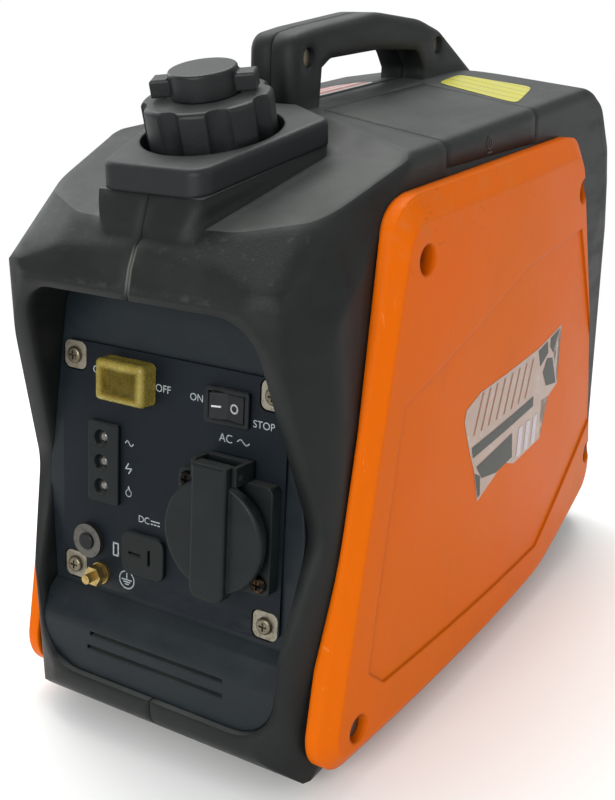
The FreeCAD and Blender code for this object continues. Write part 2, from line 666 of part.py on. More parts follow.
def fuel_line():
    """Valve screwed into the tank's floor, and the hose from it to the carburettor."""
    barrel = rod(("valve_x", "valve_y", "tank_low - 12"), "z", "6", "12")
    nipple = rod(("valve_x", "valve_y", "tank_low - 24"), "z", "1.8", "13")
    lever = box(("valve_x - 3", "valve_y - 16", "tank_low - 9"), ("valve_x + 3", "valve_y", "tank_low - 4"))
    node(fuse(barrel, nipple, lever), "fuel_valve")
    bend = quarter(("valve_x + 10", "valve_y", "tank_low - 24"), "10", "3.2",
                   Rotation(Y_AXIS, 180).multiply(UP_FROM_PLUS_X), "hose_bend")
    drop = rod(("valve_x", "valve_y", "tank_low - 24"), "z", "3.2", "11.5")
    run = rod(("valve_x + 10", "valve_y", "tank_low - 34"), "x", "3.2", "11")
    hose = cut(fuse(bend, drop, run), rod(("valve_x", "valve_y", "tank_low - 24"), "z", "1.8", "20"),
               rod(("valve_x + 12", "valve_y", "tank_low - 34"), "x", "1.8", "20"))
    node(hose, "fuel_hose")


# ----------------------------------------------------------------------------------------------
# Front cover and control panel. Devices are made upright with the panel's face at y = 0
# ----------------------------------------------------------------------------------------------
def on_panel(piece):
    mounted = group(piece, name="mounted")
    mounted.Placement = Placement(Vector(), Rotation(Vector(-1, 0, 0), value("panel_lean")))
    bind(mounted, "Placement.Rotation.Angle", "panel_lean")
    return bind_base(mounted, ("0", "panel_y", "panel_z"))


def front_depth(shift, name):
    """Everything behind the front cover's face: leaning behind the panel, bulging below it."""
    slope, shift = "tan(panel_lean)", f"({shift})"
    return Prism("YZ", [
        (f"panel_y + (240 - panel_z) * {slope} + 1.7 + {shift}", "240"),
        (f"panel_y + (75 - panel_z) * {slope} + 1.7 + {shift}", "75"),
        (f"-184 + {shift}", "70"), (f"-190 + {shift}", "60"), (f"-192 + {shift}", "20"),
        ("-140", "20"), ("-140", "240")], "-100", "200", name)


def front_cover():
    """Inner front moulding: face, side walls back to the bulkhead, and a fixing flange."""
    face = front_depth("0", "cover_face_form")
    face.round("4", 1)
    face.round("12", 3)
    plug = Prism("XZ", mouth_outline("gap"), "-200", "51", "front_plug")
    room = Prism("XZ", mouth_outline("gap + 3"), "-220", "100", "front_room")
    for block, less in ((plug, "gap"), (room, "gap + 3")):
        block.round(f"24 - {less}", 0, 5)
        block.round(f"60 - {less}", 1, 4)
        block.round(f"20 - {less}", 2, 3)
    tub = cut(common(plug.body, face.body), common(room.body, front_depth("4", "front_back").body))
    flange = Prism("XZ", mouth_outline("-5"), "bulkhead_y + 0.1", "3", "front_flange")
    frame = cut(flange.body, room.body)
    slots = [common(box((f"-42 + {n} * 2", "-220", f"47 + {n} * 8"), ("42", "-150", f"49.6 + {n} * 8")),
                    room.body) for n in range(2)]
    behind_panel = on_panel(fuse(box(("-62.5", "-5", "-46.5"), ("62.5", "40", "46.5")),
                                 box(("-49", "-5", "-49"), ("49", "40", "58"))))
    holes = [rod((x, "-5", v), "y", "screw_shank", "40") for x, v in corner_places()]
    holes.append(rod(("earth_x", "-5", "earth_v"), "y", "4", "40"))
    node(cut(fuse(tub, frame), *slots, behind_panel, on_panel(fuse(*holes))), "front_cover")


def corner_places():
    return [(f"{i} * screw_x", f"{j} * screw_v") for i in (-1, 1) for j in (-1, 1)]


def panel_plate():
    """Control panel plate, its corners notched round the four fixing pads."""
    plate = box(("-panel_half_w", "0", "-panel_half_h"), ("panel_half_w", "panel_thick", "panel_half_h"))
    soft = soften(plate, "6", lambda edge: along(edge, Y_AXIS))
    notches = [box((f"{x} - notch / 2", "-1", f"{v} - notch / 2"),
                   (f"{x} + notch / 2", "5", f"{v} + notch / 2"))
               for x, v in corner_places()]
    notches = [soften(notch, "4", lambda edge: along(edge, Y_AXIS)) for notch in notches]
    switches = [box((f"{x} - 11.4", "-1", f"{v} - 7.6"), (f"{x} + 11.4", "5", f"{v} + 7.6"))
                for x, v in (("econ_x", "econ_v"), ("engine_x", "engine_v"))]
    lamps = box(("lamp_x - 4.6", "-1", "lamp_v - 18"), ("lamp_x + 4.6", "5", "lamp_v + 18"))
    rounds = [rod(("breaker_x", "-1", "breaker_v"), "y", "6.8", "6"),
              rod(("ac_x", "-1", "ac_v"), "y", "22.8", "6"),
              rod(("ac_x - 20.5", "-1", "ac_v + 20.5"), "y", "screw_shank", "6"),
              rod(("ac_x + 20.5", "-1", "ac_v - 20.5"), "y", "screw_shank", "6"),
              rod(("earth_x", "-1", "earth_v"), "y", "2.8", "6")]
    outlet = box(("dc_x - 10", "-1", "dc_v - 8.5"), ("dc_x + 10", "5", "dc_v + 8.5"))
    node(on_panel(cut(soft, *notches, *switches, lamps, outlet, *rounds)), "control_panel")
    pads = [soften(box((f"{x} - 6.8", "0.3", f"{v} - 6.8"), (f"{x} + 6.8", "panel_thick", f"{v} + 6.8")),
                   "3.4", lambda edge: along(edge, Y_AXIS)) for x, v in corner_places()]
    holed = [cut(pad, rod((x, "-1", v), "y", "screw_shank", "6"))
             for pad, (x, v) in zip(pads, corner_places())]
    node(on_panel(group(*holed)), "panel_corner_pads")


def panel_screws():
    places = corner_places() + [("ac_x - 20.5", "ac_v + 20.5"), ("ac_x + 20.5", "ac_v - 20.5")]
    lifts = ["0.3"] * 4 + ["-7"] * 2
    screws = []
    for (x, v), lift in zip(places, lifts):
        head = soften(rod((x, lift, v), "-y", "4.2", "2.2"), "1.4",
                      lambda edge, top=lift: middle(edge).y < value(top) - 2)
        drive = fuse(box((f"{x} - 2.2", f"{lift} - 5", f"{v} - 0.5"),
                         (f"{x} + 2.2", f"{lift} - 1", f"{v} + 0.5")),
                     box((f"{x} - 0.5", f"{lift} - 5", f"{v} - 2.2"),
                         (f"{x} + 0.5", f"{lift} - 1", f"{v} + 2.2")))
        screws.append(fuse(cut(head, drive), rod((x, lift, v), "y", "screw_shank", "8")))
    node(on_panel(group(*screws)), "panel_screws")


def rocker_switch(label, x, v):
    """Snap-in housing and the rocker in it, at rest with its left side proud."""
    frame = box((f"{x} - bezel_w / 2", "-2.4", f"{v} - bezel_h / 2"),
                (f"{x} + bezel_w / 2", "0", f"{v} + bezel_h / 2"))
    rim = soften(frame, "1.6", lambda edge: along(edge, Y_AXIS))
    can = box((f"{x} - 11.2", "0", f"{v} - 7.4"), (f"{x} + 11.2", "15", f"{v} + 7.4"))
    pocket = box((f"{x} - rocker_w / 2", "-5", f"{v} - rocker_h / 2"),
                 (f"{x} + rocker_w / 2", "13", f"{v} + rocker_h / 2"))
    pin = rod((x, "4", f"{v} - 7.2"), "z", "1", "14.4")
    node(on_panel(fuse(cut(fuse(rim, can), pocket), pin)), label + "_switch_housing")
    paddle = Prism("XY", [("-8.8", "-7.8"), ("0", "-5.8"), ("8.8", "-7.8"), ("8.8", "-1"), ("3", "4"),
                          ("-3", "4"), ("-8.8", "-1")], "-rocker_h / 2 + 0.3", "rocker_h - 0.6",
                   label + "_paddle")
    bored = cut(paddle.body, rod(("0", "0", "-10"), "z", "1 + fit", "20"))
    bored.Placement = Placement(Vector(), Rotation(Z_AXIS, 7))
    bind_base(bored, (x, "4", v))
    node(on_panel(bored), label + "_rocker")


def econ_boot():
    """Clear moulded boot that keeps dust off the economy switch."""
    outer = soften(box(("econ_x - 14.7", "-10", "econ_v - 10.2"), ("econ_x + 14.7", "-0.1", "econ_v + 10.2")),
                   "2.6", lambda edge: middle(edge).y < -1)
    inner = box(("econ_x - 13.2", "-8.6", "econ_v - 8.9"), ("econ_x + 13.2", "1", "econ_v + 8.9"))
    node(on_panel(cut(outer, inner)), "econ_boot")


def indicators():
    block = soften(box(("lamp_x - block_w / 2", "-2", "lamp_v - block_h / 2"),
                       ("lamp_x + block_w / 2 + 3", "0", "lamp_v + block_h / 2")), "1.5",
                   lambda edge: along(edge, Y_AXIS))
    stem = box(("lamp_x - 4.4", "0", "lamp_v - 17.8"), ("lamp_x + 4.4", "12", "lamp_v + 17.8"))
    places = [f"lamp_v + {n} * lamp_pitch" for n in (-1, 0, 1)]
    wells = [taper(("lamp_x", "-2.1", v), "y", "4.3", "3.4", "3.2") for v in places]
    bores = [rod(("lamp_x", "0", v), "y", "2.6", "11") for v in places]
    node(on_panel(cut(fuse(block, stem), *wells, *bores)), "indicator_block")
    lamps = [soften(rod(("lamp_x", "0", v), "y", "2.5", "9"), "1.6", lambda edge: middle(edge).y < 0.1)
             for v in places]
    node(on_panel(group(*lamps)), "indicator_lamps")


def breaker():
    """Push-to-reset protector: threaded collar with the button in it."""
    collar = cut(fuse(rod(("breaker_x", "-3.2", "breaker_v"), "y", "8.8", "3.2"),
                      rod(("breaker_x", "0", "breaker_v"), "y", "6.6", "16")),
                 rod(("breaker_x", "-4", "breaker_v"), "y", "4.5", "17"))
    node(on_panel(collar), "protector_collar")
    button = soften(rod(("breaker_x", "-4.4", "breaker_v"), "y", "4.5 - fit", "13"), "0.8",
                    lambda edge: middle(edge).y < -4)
    node(on_panel(button), "protector_button")


def earth_terminal():
    stud = fuse(rod(("earth_x", "-12", "earth_v"), "y", "2.4", "26"),
                rod(("earth_x", "-1.6", "earth_v"), "y", "5.6", "1.6"))
    node(on_panel(stud), "earth_stud")
    hexagon = [(f"5.2 * cos({60 * n})", f"5.2 * sin({60 * n})") for n in range(6)]
    nut = Prism("XZ", hexagon, "-7", "5", "earth_nut_form").body
    bored = cut(nut, rod(("0", "-20", "0"), "y", "2.4 + fit", "40"))
    bind_base(bored, ("earth_x", "0", "earth_v"))
    node(on_panel(bored), "earth_nut")


def dc_outlet():
    """Two-blade direct current socket: one slot lies flat and the other stands up."""
    plate = soften(box(("dc_x - dc_w / 2", "-2.6", "dc_v - dc_h / 2"),
                       ("dc_x + dc_w / 2", "0", "dc_v + dc_h / 2")),
                   "5", lambda edge: along(edge, Y_AXIS))
    can = box(("dc_x - 9.8", "0", "dc_v - 8.3"), ("dc_x + 9.8", "14", "dc_v + 8.3"))
    flat_slot = box(("dc_x - 8.5", "-5", "dc_v - 0.8"), ("dc_x - 1", "12", "dc_v + 0.8"))
    tall_slot = box(("dc_x + 3.4", "-5", "dc_v - 4.2"), ("dc_x + 5", "12", "dc_v + 4.2"))
    node(on_panel(cut(fuse(plate, can), flat_slot, tall_slot)), "dc_socket")


def ac_outlet():
    """Round-well mains socket with contacts, and the sprung lid hinged above it."""
    flange = soften(box(("ac_x - ac_half", "-7", "ac_v - ac_half"),
                        ("ac_x + ac_half", "0", "ac_v + ac_half")),
                    "3", lambda edge: along(edge, Y_AXIS))
    barrel = fuse(rod(("ac_x", "-12", "ac_v"), "y", "23.4", "12"),
                  rod(("ac_x", "0", "ac_v"), "y", "22.5", "20"))
    ears = box(("ac_x - 12.4", "-hinge_out - 3", "hinge_v + ac_v - 4"),
               ("ac_x + 12.4", "-2", "hinge_v + ac_v + 5"))
    between = box(("ac_x - 9.9", "-30", "ac_v + 20"), ("ac_x + 9.9", "-6", "ac_v + 50"))
    pin_bore = rod(("ac_x - 20", "-hinge_out", "hinge_v + ac_v"), "x", "1.5 + fit", "40")
    well = rod(("ac_x", "-20", "ac_v"), "y", "19.5", "23")
    pins = [rod((f"ac_x + {side} * 9.5", "0", "ac_v"), "y", "2.9", "17") for side in (-1, 1)]
    clip_room = [box(("ac_x - 3", "-8", f"ac_v + {side} * 19 - 1.6"),
                     ("ac_x + 3", "4", f"ac_v + {side} * 19 + 1.6"))
                 for side in (-1, 1)]
    screws = [rod((f"ac_x + {i} * 20.5", "-10", f"ac_v - {i} * 20.5"), "y", "screw_shank", "20")
              for i in (-1, 1)]
    solid = cut(fuse(flange, barrel, cut(ears, between)), pin_bore, well, *pins, *clip_room, *screws)
    node(on_panel(solid), "ac_socket_body")
    sleeves = [ring((f"ac_x + {side} * 9.5", "3.4", "ac_v"), "y", "2.8", "2.3", "13") for side in (-1, 1)]
    clips = [box(("ac_x - 2.6", "-7.6", f"ac_v + {side} * 19.4 - 0.6"),
                 ("ac_x + 2.6", "3.6", f"ac_v + {side} * 19.4 + 0.6"))
             for side in (-1, 1)]
    node(on_panel(group(*sleeves, *clips)), "ac_socket_contacts")
    pin = rod(("ac_x - 12.2", "-hinge_out", "hinge_v + ac_v"), "x", "1.5", "24.4")
    node(on_panel(pin), "lid_hinge_pin")


def ac_lid():
    disc = soften(rod(("ac_x", "-16.6", "ac_v"), "y", "lid_radius", "4.2"), "1.6",
                  lambda edge: middle(edge).y < -16)
    slab = soften(box(("ac_x - 9.4", "-20", "ac_v - 30"), ("ac_x + 9.4", "-12.4", "ac_v + hinge_v + 4.5")),
                  "5", lambda edge: along(edge, Y_AXIS) and middle(edge).z < value("ac_v"))
    band = soften(slab, "1.4", lambda edge: middle(edge).y < -19.9)
    knuckle = rod(("ac_x - 9.4", "-hinge_out", "hinge_v + ac_v"), "x", "4.5", "18.8")
    solid = cut(fuse(disc, band, knuckle),
                rod(("ac_x - 20", "-hinge_out", "hinge_v + ac_v"), "x", "1.5 + fit", "40"))
    node(on_panel(solid), "ac_socket_lid")


# ----------------------------------------------------------------------------------------------
# Base
# ----------------------------------------------------------------------------------------------
def base():
    """Floor tray, its stiffening ribs, and four rubber feet under it."""
    floor = box(("-tray_half", "tray_front", "tray_low"), ("tray_half", "tray_rear", "tray_low + tray_thick"))
    plate = soften(floor, "6", lambda edge: along(edge, Z_AXIS))
    ribs = [box((f"{x} - 1.5", "tray_front + 12", "tray_low + 1"),
                (f"{x} + 1.5", "tray_rear - 12", "tray_low + 8"))
            for x in (-67, 67)]
    slots = [box((f"-30 + {n} * 12", "70", "0"), (f"-26 + {n} * 12", "130", "30")) for n in range(6)]
    node(cut(fuse(plate, *ribs), *slots), "base_tray")
    feet = [fuse(taper((x, y, "0"), "z", "foot_radius - 1.5", "foot_radius", "tray_low"),
                 rod((x, y, "tray_low - 1"), "z", "foot_radius", "1"))
            for x in ("-foot_x", "foot_x") for y in ("foot_front", "foot_rear")]
    node(group(*feet), "rubber_feet")


def engine_mounts():
    mounts = [rod((x, f"crank_y + {side} * 30", "tray_low + tray_thick"), "z", "9", "23")
              for x in ("case_left + 12", "case_right - 14") for side in (-1, 1)]
    node(group(*mounts), "engine_mounts")


# ----------------------------------------------------------------------------------------------
# Engine
# ----------------------------------------------------------------------------------------------
CRANK = ("crank_y", "crank_z")
OIL_FILLER = ("crank_y - 26", "72")
CASE_LOW = "tray_low + tray_thick + 23"


def crankcase():
    """Hollow case with its bearing boss, foot lugs and bored walls, and the oil filler cap."""
    block = box(("case_left", "crank_y - case_half", CASE_LOW),
                ("case_right", "crank_y + case_half", "deck_z"))
    outer = soften(block, "8", lambda edge: along(edge, X_AXIS))
    room = box(("case_left + 6", "crank_y - case_half + 5", f"{CASE_LOW} + 5"),
               ("case_right - 6", "crank_y + case_half - 5", "deck_z - 6"))
    bearing = rod(("case_left - 8",) + CRANK, "x", "16", "9")
    lugs = [box((f"{x} - 10", f"crank_y + {side} * 40 - 9", CASE_LOW),
                (f"{x} + 10", f"crank_y + {side} * 40 + 9", f"{CASE_LOW} + 6"))
            for x in (12, 58) for side in (-1, 1)]
    ways = [rod(("case_left - 20",) + CRANK, "x", "shaft + fit", "150"),
            rod(("bore_x", "crank_y", "100"), "z", "bore_radius + 1", "60"),
            rod(("case_right - 10",) + OIL_FILLER, "x", "8.4", "20")]
    node(cut(fuse(cut(outer, room), bearing, *lugs), *ways), "crankcase")
    cap = fuse(rod(("case_right + 0.4",) + OIL_FILLER, "x", "12", "3"),
               rod(("case_right - 8",) + OIL_FILLER, "x", "8", "9"),
               box(("case_right + 3", "crank_y - 28.5", "61.5"),
                   ("case_right + 7", "crank_y - 23.5", "82.5")))
    node(cap, "oil_filler_cap")


def cylinder():
    """Finned barrel, head with its ports, rocker cover, and the piston at its lowest."""
    fins = [box(("bore_x - fin_half", "crank_y - fin_half", f"deck_z + 6 + {n} * 6"),
                ("bore_x + fin_half", "crank_y + fin_half", f"deck_z + 8 + {n} * 6"))
            for n in range(7)]
    wall = rod(("bore_x", "crank_y", "deck_z"), "z", "bore_radius + 6", "head_z - deck_z")
    node(cut(fuse(wall, *fins), rod(("bore_x", "crank_y", "deck_z - 1"), "z", "bore_radius", "80")),
         "cylinder_barrel")
    block = box(("bore_x - 32", "crank_y - 34", "head_z"), ("bore_x + 32", "crank_y + 34", "head_z + 20"))
    ways = [rod(("bore_x", "crank_y", "head_z - 1"), "z", "bore_radius - 1", "6"),
            rod(PLUG + ("head_z",), "z", "5", "40"),
            rod(("bore_x", "crank_y - 40", "head_z + 12"), "y", "6", "80")]
    ways += [box(("0", f"crank_y + 10 + {n} * 8", "head_z + 14"),
                 ("bore_x - 20", f"crank_y + 14 + {n} * 8", "240")) for n in range(3)]
    node(cut(soften(block, "4", lambda edge: along(edge, Z_AXIS)), *ways), "cylinder_head")
    lid = box(("bore_x - 18", "crank_y - 8", "head_z + 20"), ("bore_x + 22", "crank_y + 28", "head_z + 36"))
    node(soften(lid, "5", lambda edge: middle(edge).z > value("head_z") + 22), "rocker_cover")
    crown = rod(("bore_x", "crank_y", "deck_z - 3"), "z", "bore_radius - fit", "24")
    inside = rod(("bore_x", "crank_y", "deck_z - 4"), "z", "bore_radius - 4", "20")
    grooves = [ring(("bore_x", "crank_y", f"deck_z + 10 + {n} * 3.5"), "z", "bore_radius + 1",
                    "bore_radius - 1.4", "1.4") for n in range(3)]
    node(cut(crown, inside, *grooves), "piston")


PLUG = ("bore_x + 6", "crank_y - 22")


def spark_plug():
    """Plug in the head, and the cap on it with a side socket for the lead."""
    node(fuse(rod(PLUG + ("head_z + 6",), "z", "4.95", "14"), rod(PLUG + ("head_z + 20",), "z", "7.6", "8"),
              taper(PLUG + ("head_z + 28",), "z", "5", "3.6", "14"),
              rod(PLUG + ("head_z + 42",), "z", "2.4", "6")),
         "spark_plug")
    boot = fuse(rod(PLUG + ("head_z + 30",), "z", "9", "28"),
                rod(("bore_x - 12", "crank_y - 22", "head_z + 50"), "x", "6", "16"))
    hollow = rod(PLUG + ("head_z + 29",), "z", "5.1", "20")
    socket = rod(("bore_x - 13", "crank_y - 22", "head_z + 50"), "x", "3.6", "8")
    node(cut(boot, hollow, socket), "spark_plug_cap")


def ignition():
    """Coil on its bracket beside the rotor, and the lead from it up to the plug cap."""
    core = soften(box(("-38", "crank_y - 34", "deck_z + 6"), ("-16", "crank_y - 10", "deck_z + 30")),
                  "3", lambda edge: along(edge, Z_AXIS))
    arm = box(("-30", "crank_y - 30", "deck_z"), ("6", "crank_y - 24", "deck_z + 5"))
    foot = box(("-30", "crank_y - 30", "deck_z"), ("-20", "crank_y - 24", "deck_z + 7"))
    tower = rod(("-27", "crank_y - 22", "deck_z + 29"), "z", "5", "6")
    socket = rod(("-27", "crank_y - 22", "deck_z + 20"), "z", "3.6", "30")
    node(cut(fuse(core, arm, foot, tower), socket), "ignition_coil")
    bend = quarter(("-7", "crank_y - 22", "head_z + 30"), "20", "3.4",
                   Rotation(Z_AXIS, 180).multiply(UP_FROM_PLUS_X), "lead_bend")
    rise = rod(("-27", "crank_y - 22", "deck_z + 21"), "z", "3.4", "head_z + 30 - deck_z - 21")
    run = rod(("-7", "crank_y - 22", "head_z + 50"), "x", "3.4", "37")
    node(fuse(rise, bend, run), "ignition_lead")


def spoke(angle, width, start, length, reach):
    """A radial bar about the crankshaft's line, from 10 mm out to its reach."""
    corner = Rotation(X_AXIS, angle).multVec(Vector(0, -width / 2, 10))
    bar = box(("0", "0", "0"), (length, str(width), str(reach - 10)))
    bar.Placement = Placement(corner, Rotation(X_AXIS, angle))
    bind_base(bar, (start, f"crank_y + {corner.y:.4f}", f"crank_z + {corner.z:.4f}"))
    return bar


def crank_train():
    """Crankshaft, magnet rotor and cooling fan with its starter cup: they turn as one."""
    left = rod(("-69",) + CRANK, "x", "shaft", "69 + bore_x - 18")
    right = rod(("bore_x + 18",) + CRANK, "x", "shaft", "case_right - bore_x - 16")
    webs = [rod((start,) + CRANK, "x", "26", "8") for start in ("bore_x - 19", "bore_x + 11")]
    cheeks = [box(("bore_x - 25", f"crank_y + {low}", "crank_z + 8"),
                  ("bore_x + 25", f"crank_y + {low} + 20", "crank_z + 40")) for low in (-31, 11)]
    pin = rod(("bore_x - 12", "crank_y", "crank_z - 15"), "x", "8", "24")
    node(fuse(left, right, cut(fuse(*webs), *cheeks), pin), "crankshaft")
    cup = ring(("-46",) + CRANK, "x", "rotor_radius", "rotor_radius - 5", "34")
    magnets = common(ring(("-41",) + CRANK, "x", "rotor_radius - 4.5", "rotor_radius - 7.5", "27"),
                     fuse(*[spoke(30 * n, 9, "-41", "28", 60) for n in range(12)]))
    hub = fuse(rod(("-46",) + CRANK, "x", "rotor_radius", "4"), rod(("-46",) + CRANK, "x", "12", "11"))
    shaft_way = rod(("-80",) + CRANK, "x", "shaft", "100")
    node(cut(fuse(cup, magnets, hub), shaft_way), "magnet_rotor")
    blades = common(fuse(*[spoke(30 * n, 1.6, "-62", "13", 60) for n in range(12)]),
                    ring(("-63",) + CRANK, "x", "fan_radius", "14", "15"))
    eye = cut(rod(("-67",) + CRANK, "x", "17", "18"), rod(("-68",) + CRANK, "x", "14.5", "4"))
    wheel = fuse(rod(("-50",) + CRANK, "x", "fan_radius", "2"), blades, eye)
    node(cut(wheel, rod(("-80",) + CRANK, "x", "shaft", "100")), "cooling_fan")


def stator():
    """Twelve wound poles on a hub fixed to the crankcase wall."""
    hub = ring(("-34",) + CRANK, "x", "20", "16.1", "26")
    foot = ring(("-8.2",) + CRANK, "x", "26", "16.1", "8.2")
    poles = common(fuse(*[spoke(30 * n, 5, "-34", "20", 40) for n in range(12)]),
                   ring(("-34",) + CRANK, "x", "33.5", "19", "20"))
    node(fuse(hub, foot, poles), "stator")


def recoil_starter():
    """Dished housing on four long legs with its axle and rope guide, the reel, rope and grip."""
    dish = cut(rod(("-86",) + CRANK, "x", "recoil_radius", "20"),
               rod(("-84",) + CRANK, "x", "recoil_radius - 2.5", "30"))
    vents = common(fuse(*[spoke(45 * n + 22.5, 6, "-90", "5.5", 60) for n in range(8)]),
                   ring(("-91",) + CRANK, "x", "48", "36", "20"))
    legs = common(fuse(*[spoke(90 * n + 45, 12, "-86", "86", 70) for n in range(4)]),
                  ring(("-87",) + CRANK, "x", "recoil_radius + 4", "recoil_radius - 2.5", "90"))
    axle = rod(("-84.5",) + CRANK, "x", "5", "14.5")
    guide = box(("-86", "grip_pocket_y - 9", "crank_z + 44"),
                ("-83", "grip_pocket_y + 9", "grip_pocket_z + 9"))
    rope_slot = box(("-82.9", "grip_pocket_y - 4", "crank_z + 30"),
                    ("-60", "grip_pocket_y + 4", "crank_z + 60"))
    rope_hole = rod(("-100", "grip_pocket_y", "grip_pocket_z"), "x", "3", "40")
    node(cut(fuse(dish, guide, axle, legs), vents, rope_slot, rope_hole), "recoil_housing")
    spool = fuse(rod(("-83.6",) + CRANK, "x", "reel_radius + 6", "2"),
                 rod(("-83.6",) + CRANK, "x", "reel_radius + 3", "12"),
                 rod(("-73.6",) + CRANK, "x", "reel_radius + 6", "2"))
    node(cut(spool, rod(("-90",) + CRANK, "x", "5 + fit", "30")), "recoil_reel")
    bend = quarter(("-84", "grip_pocket_y", "grip_pocket_z - 6"), "6", "1.8", UP_FROM_PLUS_X, "rope_bend")
    rise = rod(("-78", "grip_pocket_y", "crank_z + 8"), "z", "1.8", "grip_pocket_z - crank_z - 14")
    run = rod(("-84", "grip_pocket_y", "grip_pocket_z"), "-x", "1.8", "4.6")
    node(fuse(rise, bend, run), "starter_rope")
    bar = soften(box(("-101.5", "grip_pocket_y - 19", "grip_pocket_z - 7"),
                     ("-91.5", "grip_pocket_y + 19", "grip_pocket_z + 7")), "3.5", lambda edge: True)
    node(fuse(bar, rod(("-92.5", "grip_pocket_y", "grip_pocket_z"), "x", "3", "3.5")), "starter_grip")


def choke():
    """Choke knob in its well, with a shaft through the cover and a collar behind it."""
    disc = rod(("-92.9", "choke_y", "choke_z"), "-x", "10", "3")
    bar = box(("-100.5", "choke_y - 2.5", "choke_z - 10"), ("-95", "choke_y + 2.5", "choke_z + 10"))
    shaft = rod(("-94", "choke_y", "choke_z"), "x", "3", "8")
    node(fuse(disc, bar, shaft, rod(("-89.1", "choke_y", "choke_z"), "x", "6", "2.4")), "choke_knob")


def exhaust():
    """Muffler box with its inlet pipe and flange, its tail pipe and a slotted end screen."""
    can = Prism("YZ", [("90", "112"), ("152", "112"), ("152", "206"), ("90", "218")], "-52", "104", "can")
    can.round("14", 0, 1, 2, 3)
    room = Prism("YZ", [("92", "114"), ("150", "114"), ("150", "204"), ("92", "216")], "-50", "100", "room")
    room.round("12", 0, 1, 2, 3)
    inlet = ("bore_x", "crank_y + 34", "head_z + 12")
    tail = ("tail_x", "151", "tail_pipe_z")
    pipes = [rod(inlet, "y", "9", "37"), rod(inlet, "y", "14", "4"), rod(tail, "y", "10", "29")]
    ways = [rod(("bore_x", "50", "head_z + 12"), "y", "6", "45"),
            cut(rod(("tail_x", "140", "tail_pipe_z"), "y", "8.4", "50"),
                rod(("tail_x", "174", "tail_pipe_z"), "y", "9", "1.6"))]
    ways += [box((f"tail_x - 7 + {n} * 3.4", "170", "tail_pipe_z - 4.5"),
                 (f"tail_x - 5 + {n} * 3.4", "178", "tail_pipe_z + 4.5")) for n in range(4)]
    node(cut(fuse(cut(can.body, room.body), *pipes), *ways), "muffler")


def intake():
    """Carburettor with its flange, bowl and fuel nipple, and the air cleaner box before it."""
    flange = box(("bore_x - 16", "crank_y - 42", "head_z - 2"),
                 ("bore_x + 16", "crank_y - 34", "head_z + 20"))
    body = soften(box(("bore_x - 12", "crank_y - 76", "head_z - 4"),
                      ("bore_x + 12", "crank_y - 40", "head_z + 18")),
                  "3", lambda edge: along(edge, Y_AXIS))
    bowl = rod(("bore_x", "crank_y - 62", "head_z - 24"), "z", "11", "21")
    nipple = rod(("bore_x - 25", "crank_y - 62", "head_z - 14"), "x", "1.8", "15")
    throat = rod(("bore_x", "crank_y - 80", "head_z + 12"), "y", "6", "60")
    node(cut(fuse(flange, body, bowl, nipple), throat), "carburettor")
    outer = soften(box(("10", "-138", "128"), ("78", "crank_y - 76", "209")), "5",
                   lambda edge: along(edge, X_AXIS))
    inner = box(("12.2", "-135.8", "130.2"), ("75.8", "crank_y - 78.2", "206.8"))
    seam = cut(box(("70", "-150", "100"), ("70.8", "0", "230")),
               box(("69", "-137.2", "128.8"), ("72", "crank_y - 76.8", "208.2")))
    inlet = rod(("bore_x", "crank_y - 90", "head_z + 8"), "y", "5", "30")
    node(cut(outer, inner, seam, inlet), "air_cleaner_case")


def inverter():
    """Potted inverter module: a finned aluminium tray standing on four posts."""
    tray = box(("-66", "-140", "24"), ("-6", "-44", "46"))
    fins = [box((f"-66 + {n} * 6", "-138", "45"), (f"-64 + {n} * 6", "-46", "60")) for n in range(11)]
    posts = [rod((x, y, "tray_low + tray_thick"), "z", "4", "14")
             for x in ("-54", "-16") for y in ("-130", "-54")]
    node(fuse(tray, *fins, *posts), "inverter_module")


# ----------------------------------------------------------------------------------------------
# Checking and writing
# ----------------------------------------------------------------------------------------------
def check_and_write():
    """Stops on any failed feature or unsound shape, then writes one STEP file for each node."""
    DOC.recompute()
    failed = [thing.Name for thing in DOC.Objects if "Invalid" in thing.State or "Error" in thing.State]
    for piece in NODES:
        if piece.Shape.isNull() or not piece.Shape.isValid() or not piece.Shape.Solids:
            failed.append(piece.Label)
    if failed:
        raise RuntimeError("these did not compute: " + ", ".join(failed))
    os.makedirs("parts", exist_ok=True)
    for piece in NODES:
        piece.Shape.exportStep(f"parts/{piece.Label}.step")
        print(f"{piece.Label}: {len(piece.Shape.Solids)} solid(s), {piece.Shape.Volume / 1000:.1f} cm3")


fill_sheet()
body_halves()
handle_screws()
plug_hatch()
rear_grille()
side_covers()
bezel()
fuel_cap()
vent_knob()
fuel_tank()
fuel_line()
front_cover()
panel_plate()
panel_screws()
rocker_switch("econ", "econ_x", "econ_v")
econ_boot()
rocker_switch("engine", "engine_x", "engine_v")
indicators()
breaker()
earth_terminal()
dc_outlet()
ac_outlet()
ac_lid()
base()
engine_mounts()
crankcase()
cylinder()
spark_plug()
ignition()
crank_train()
stator()
recoil_starter()
choke()
exhaust()
intake()
inverter()
check_and_write()
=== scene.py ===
"""Dresses the suitcase inverter generator: surfaces, marks, stickers, floor, lights and camera.

Metres, +Z up, the control panel faces -Y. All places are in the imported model's frame.
"""
import math

import bmesh
import bpy
from bpy.props import FloatProperty, FloatVectorProperty, PointerProperty
from mathutils import Matrix, Vector
from mathutils.bvhtree import BVHTree


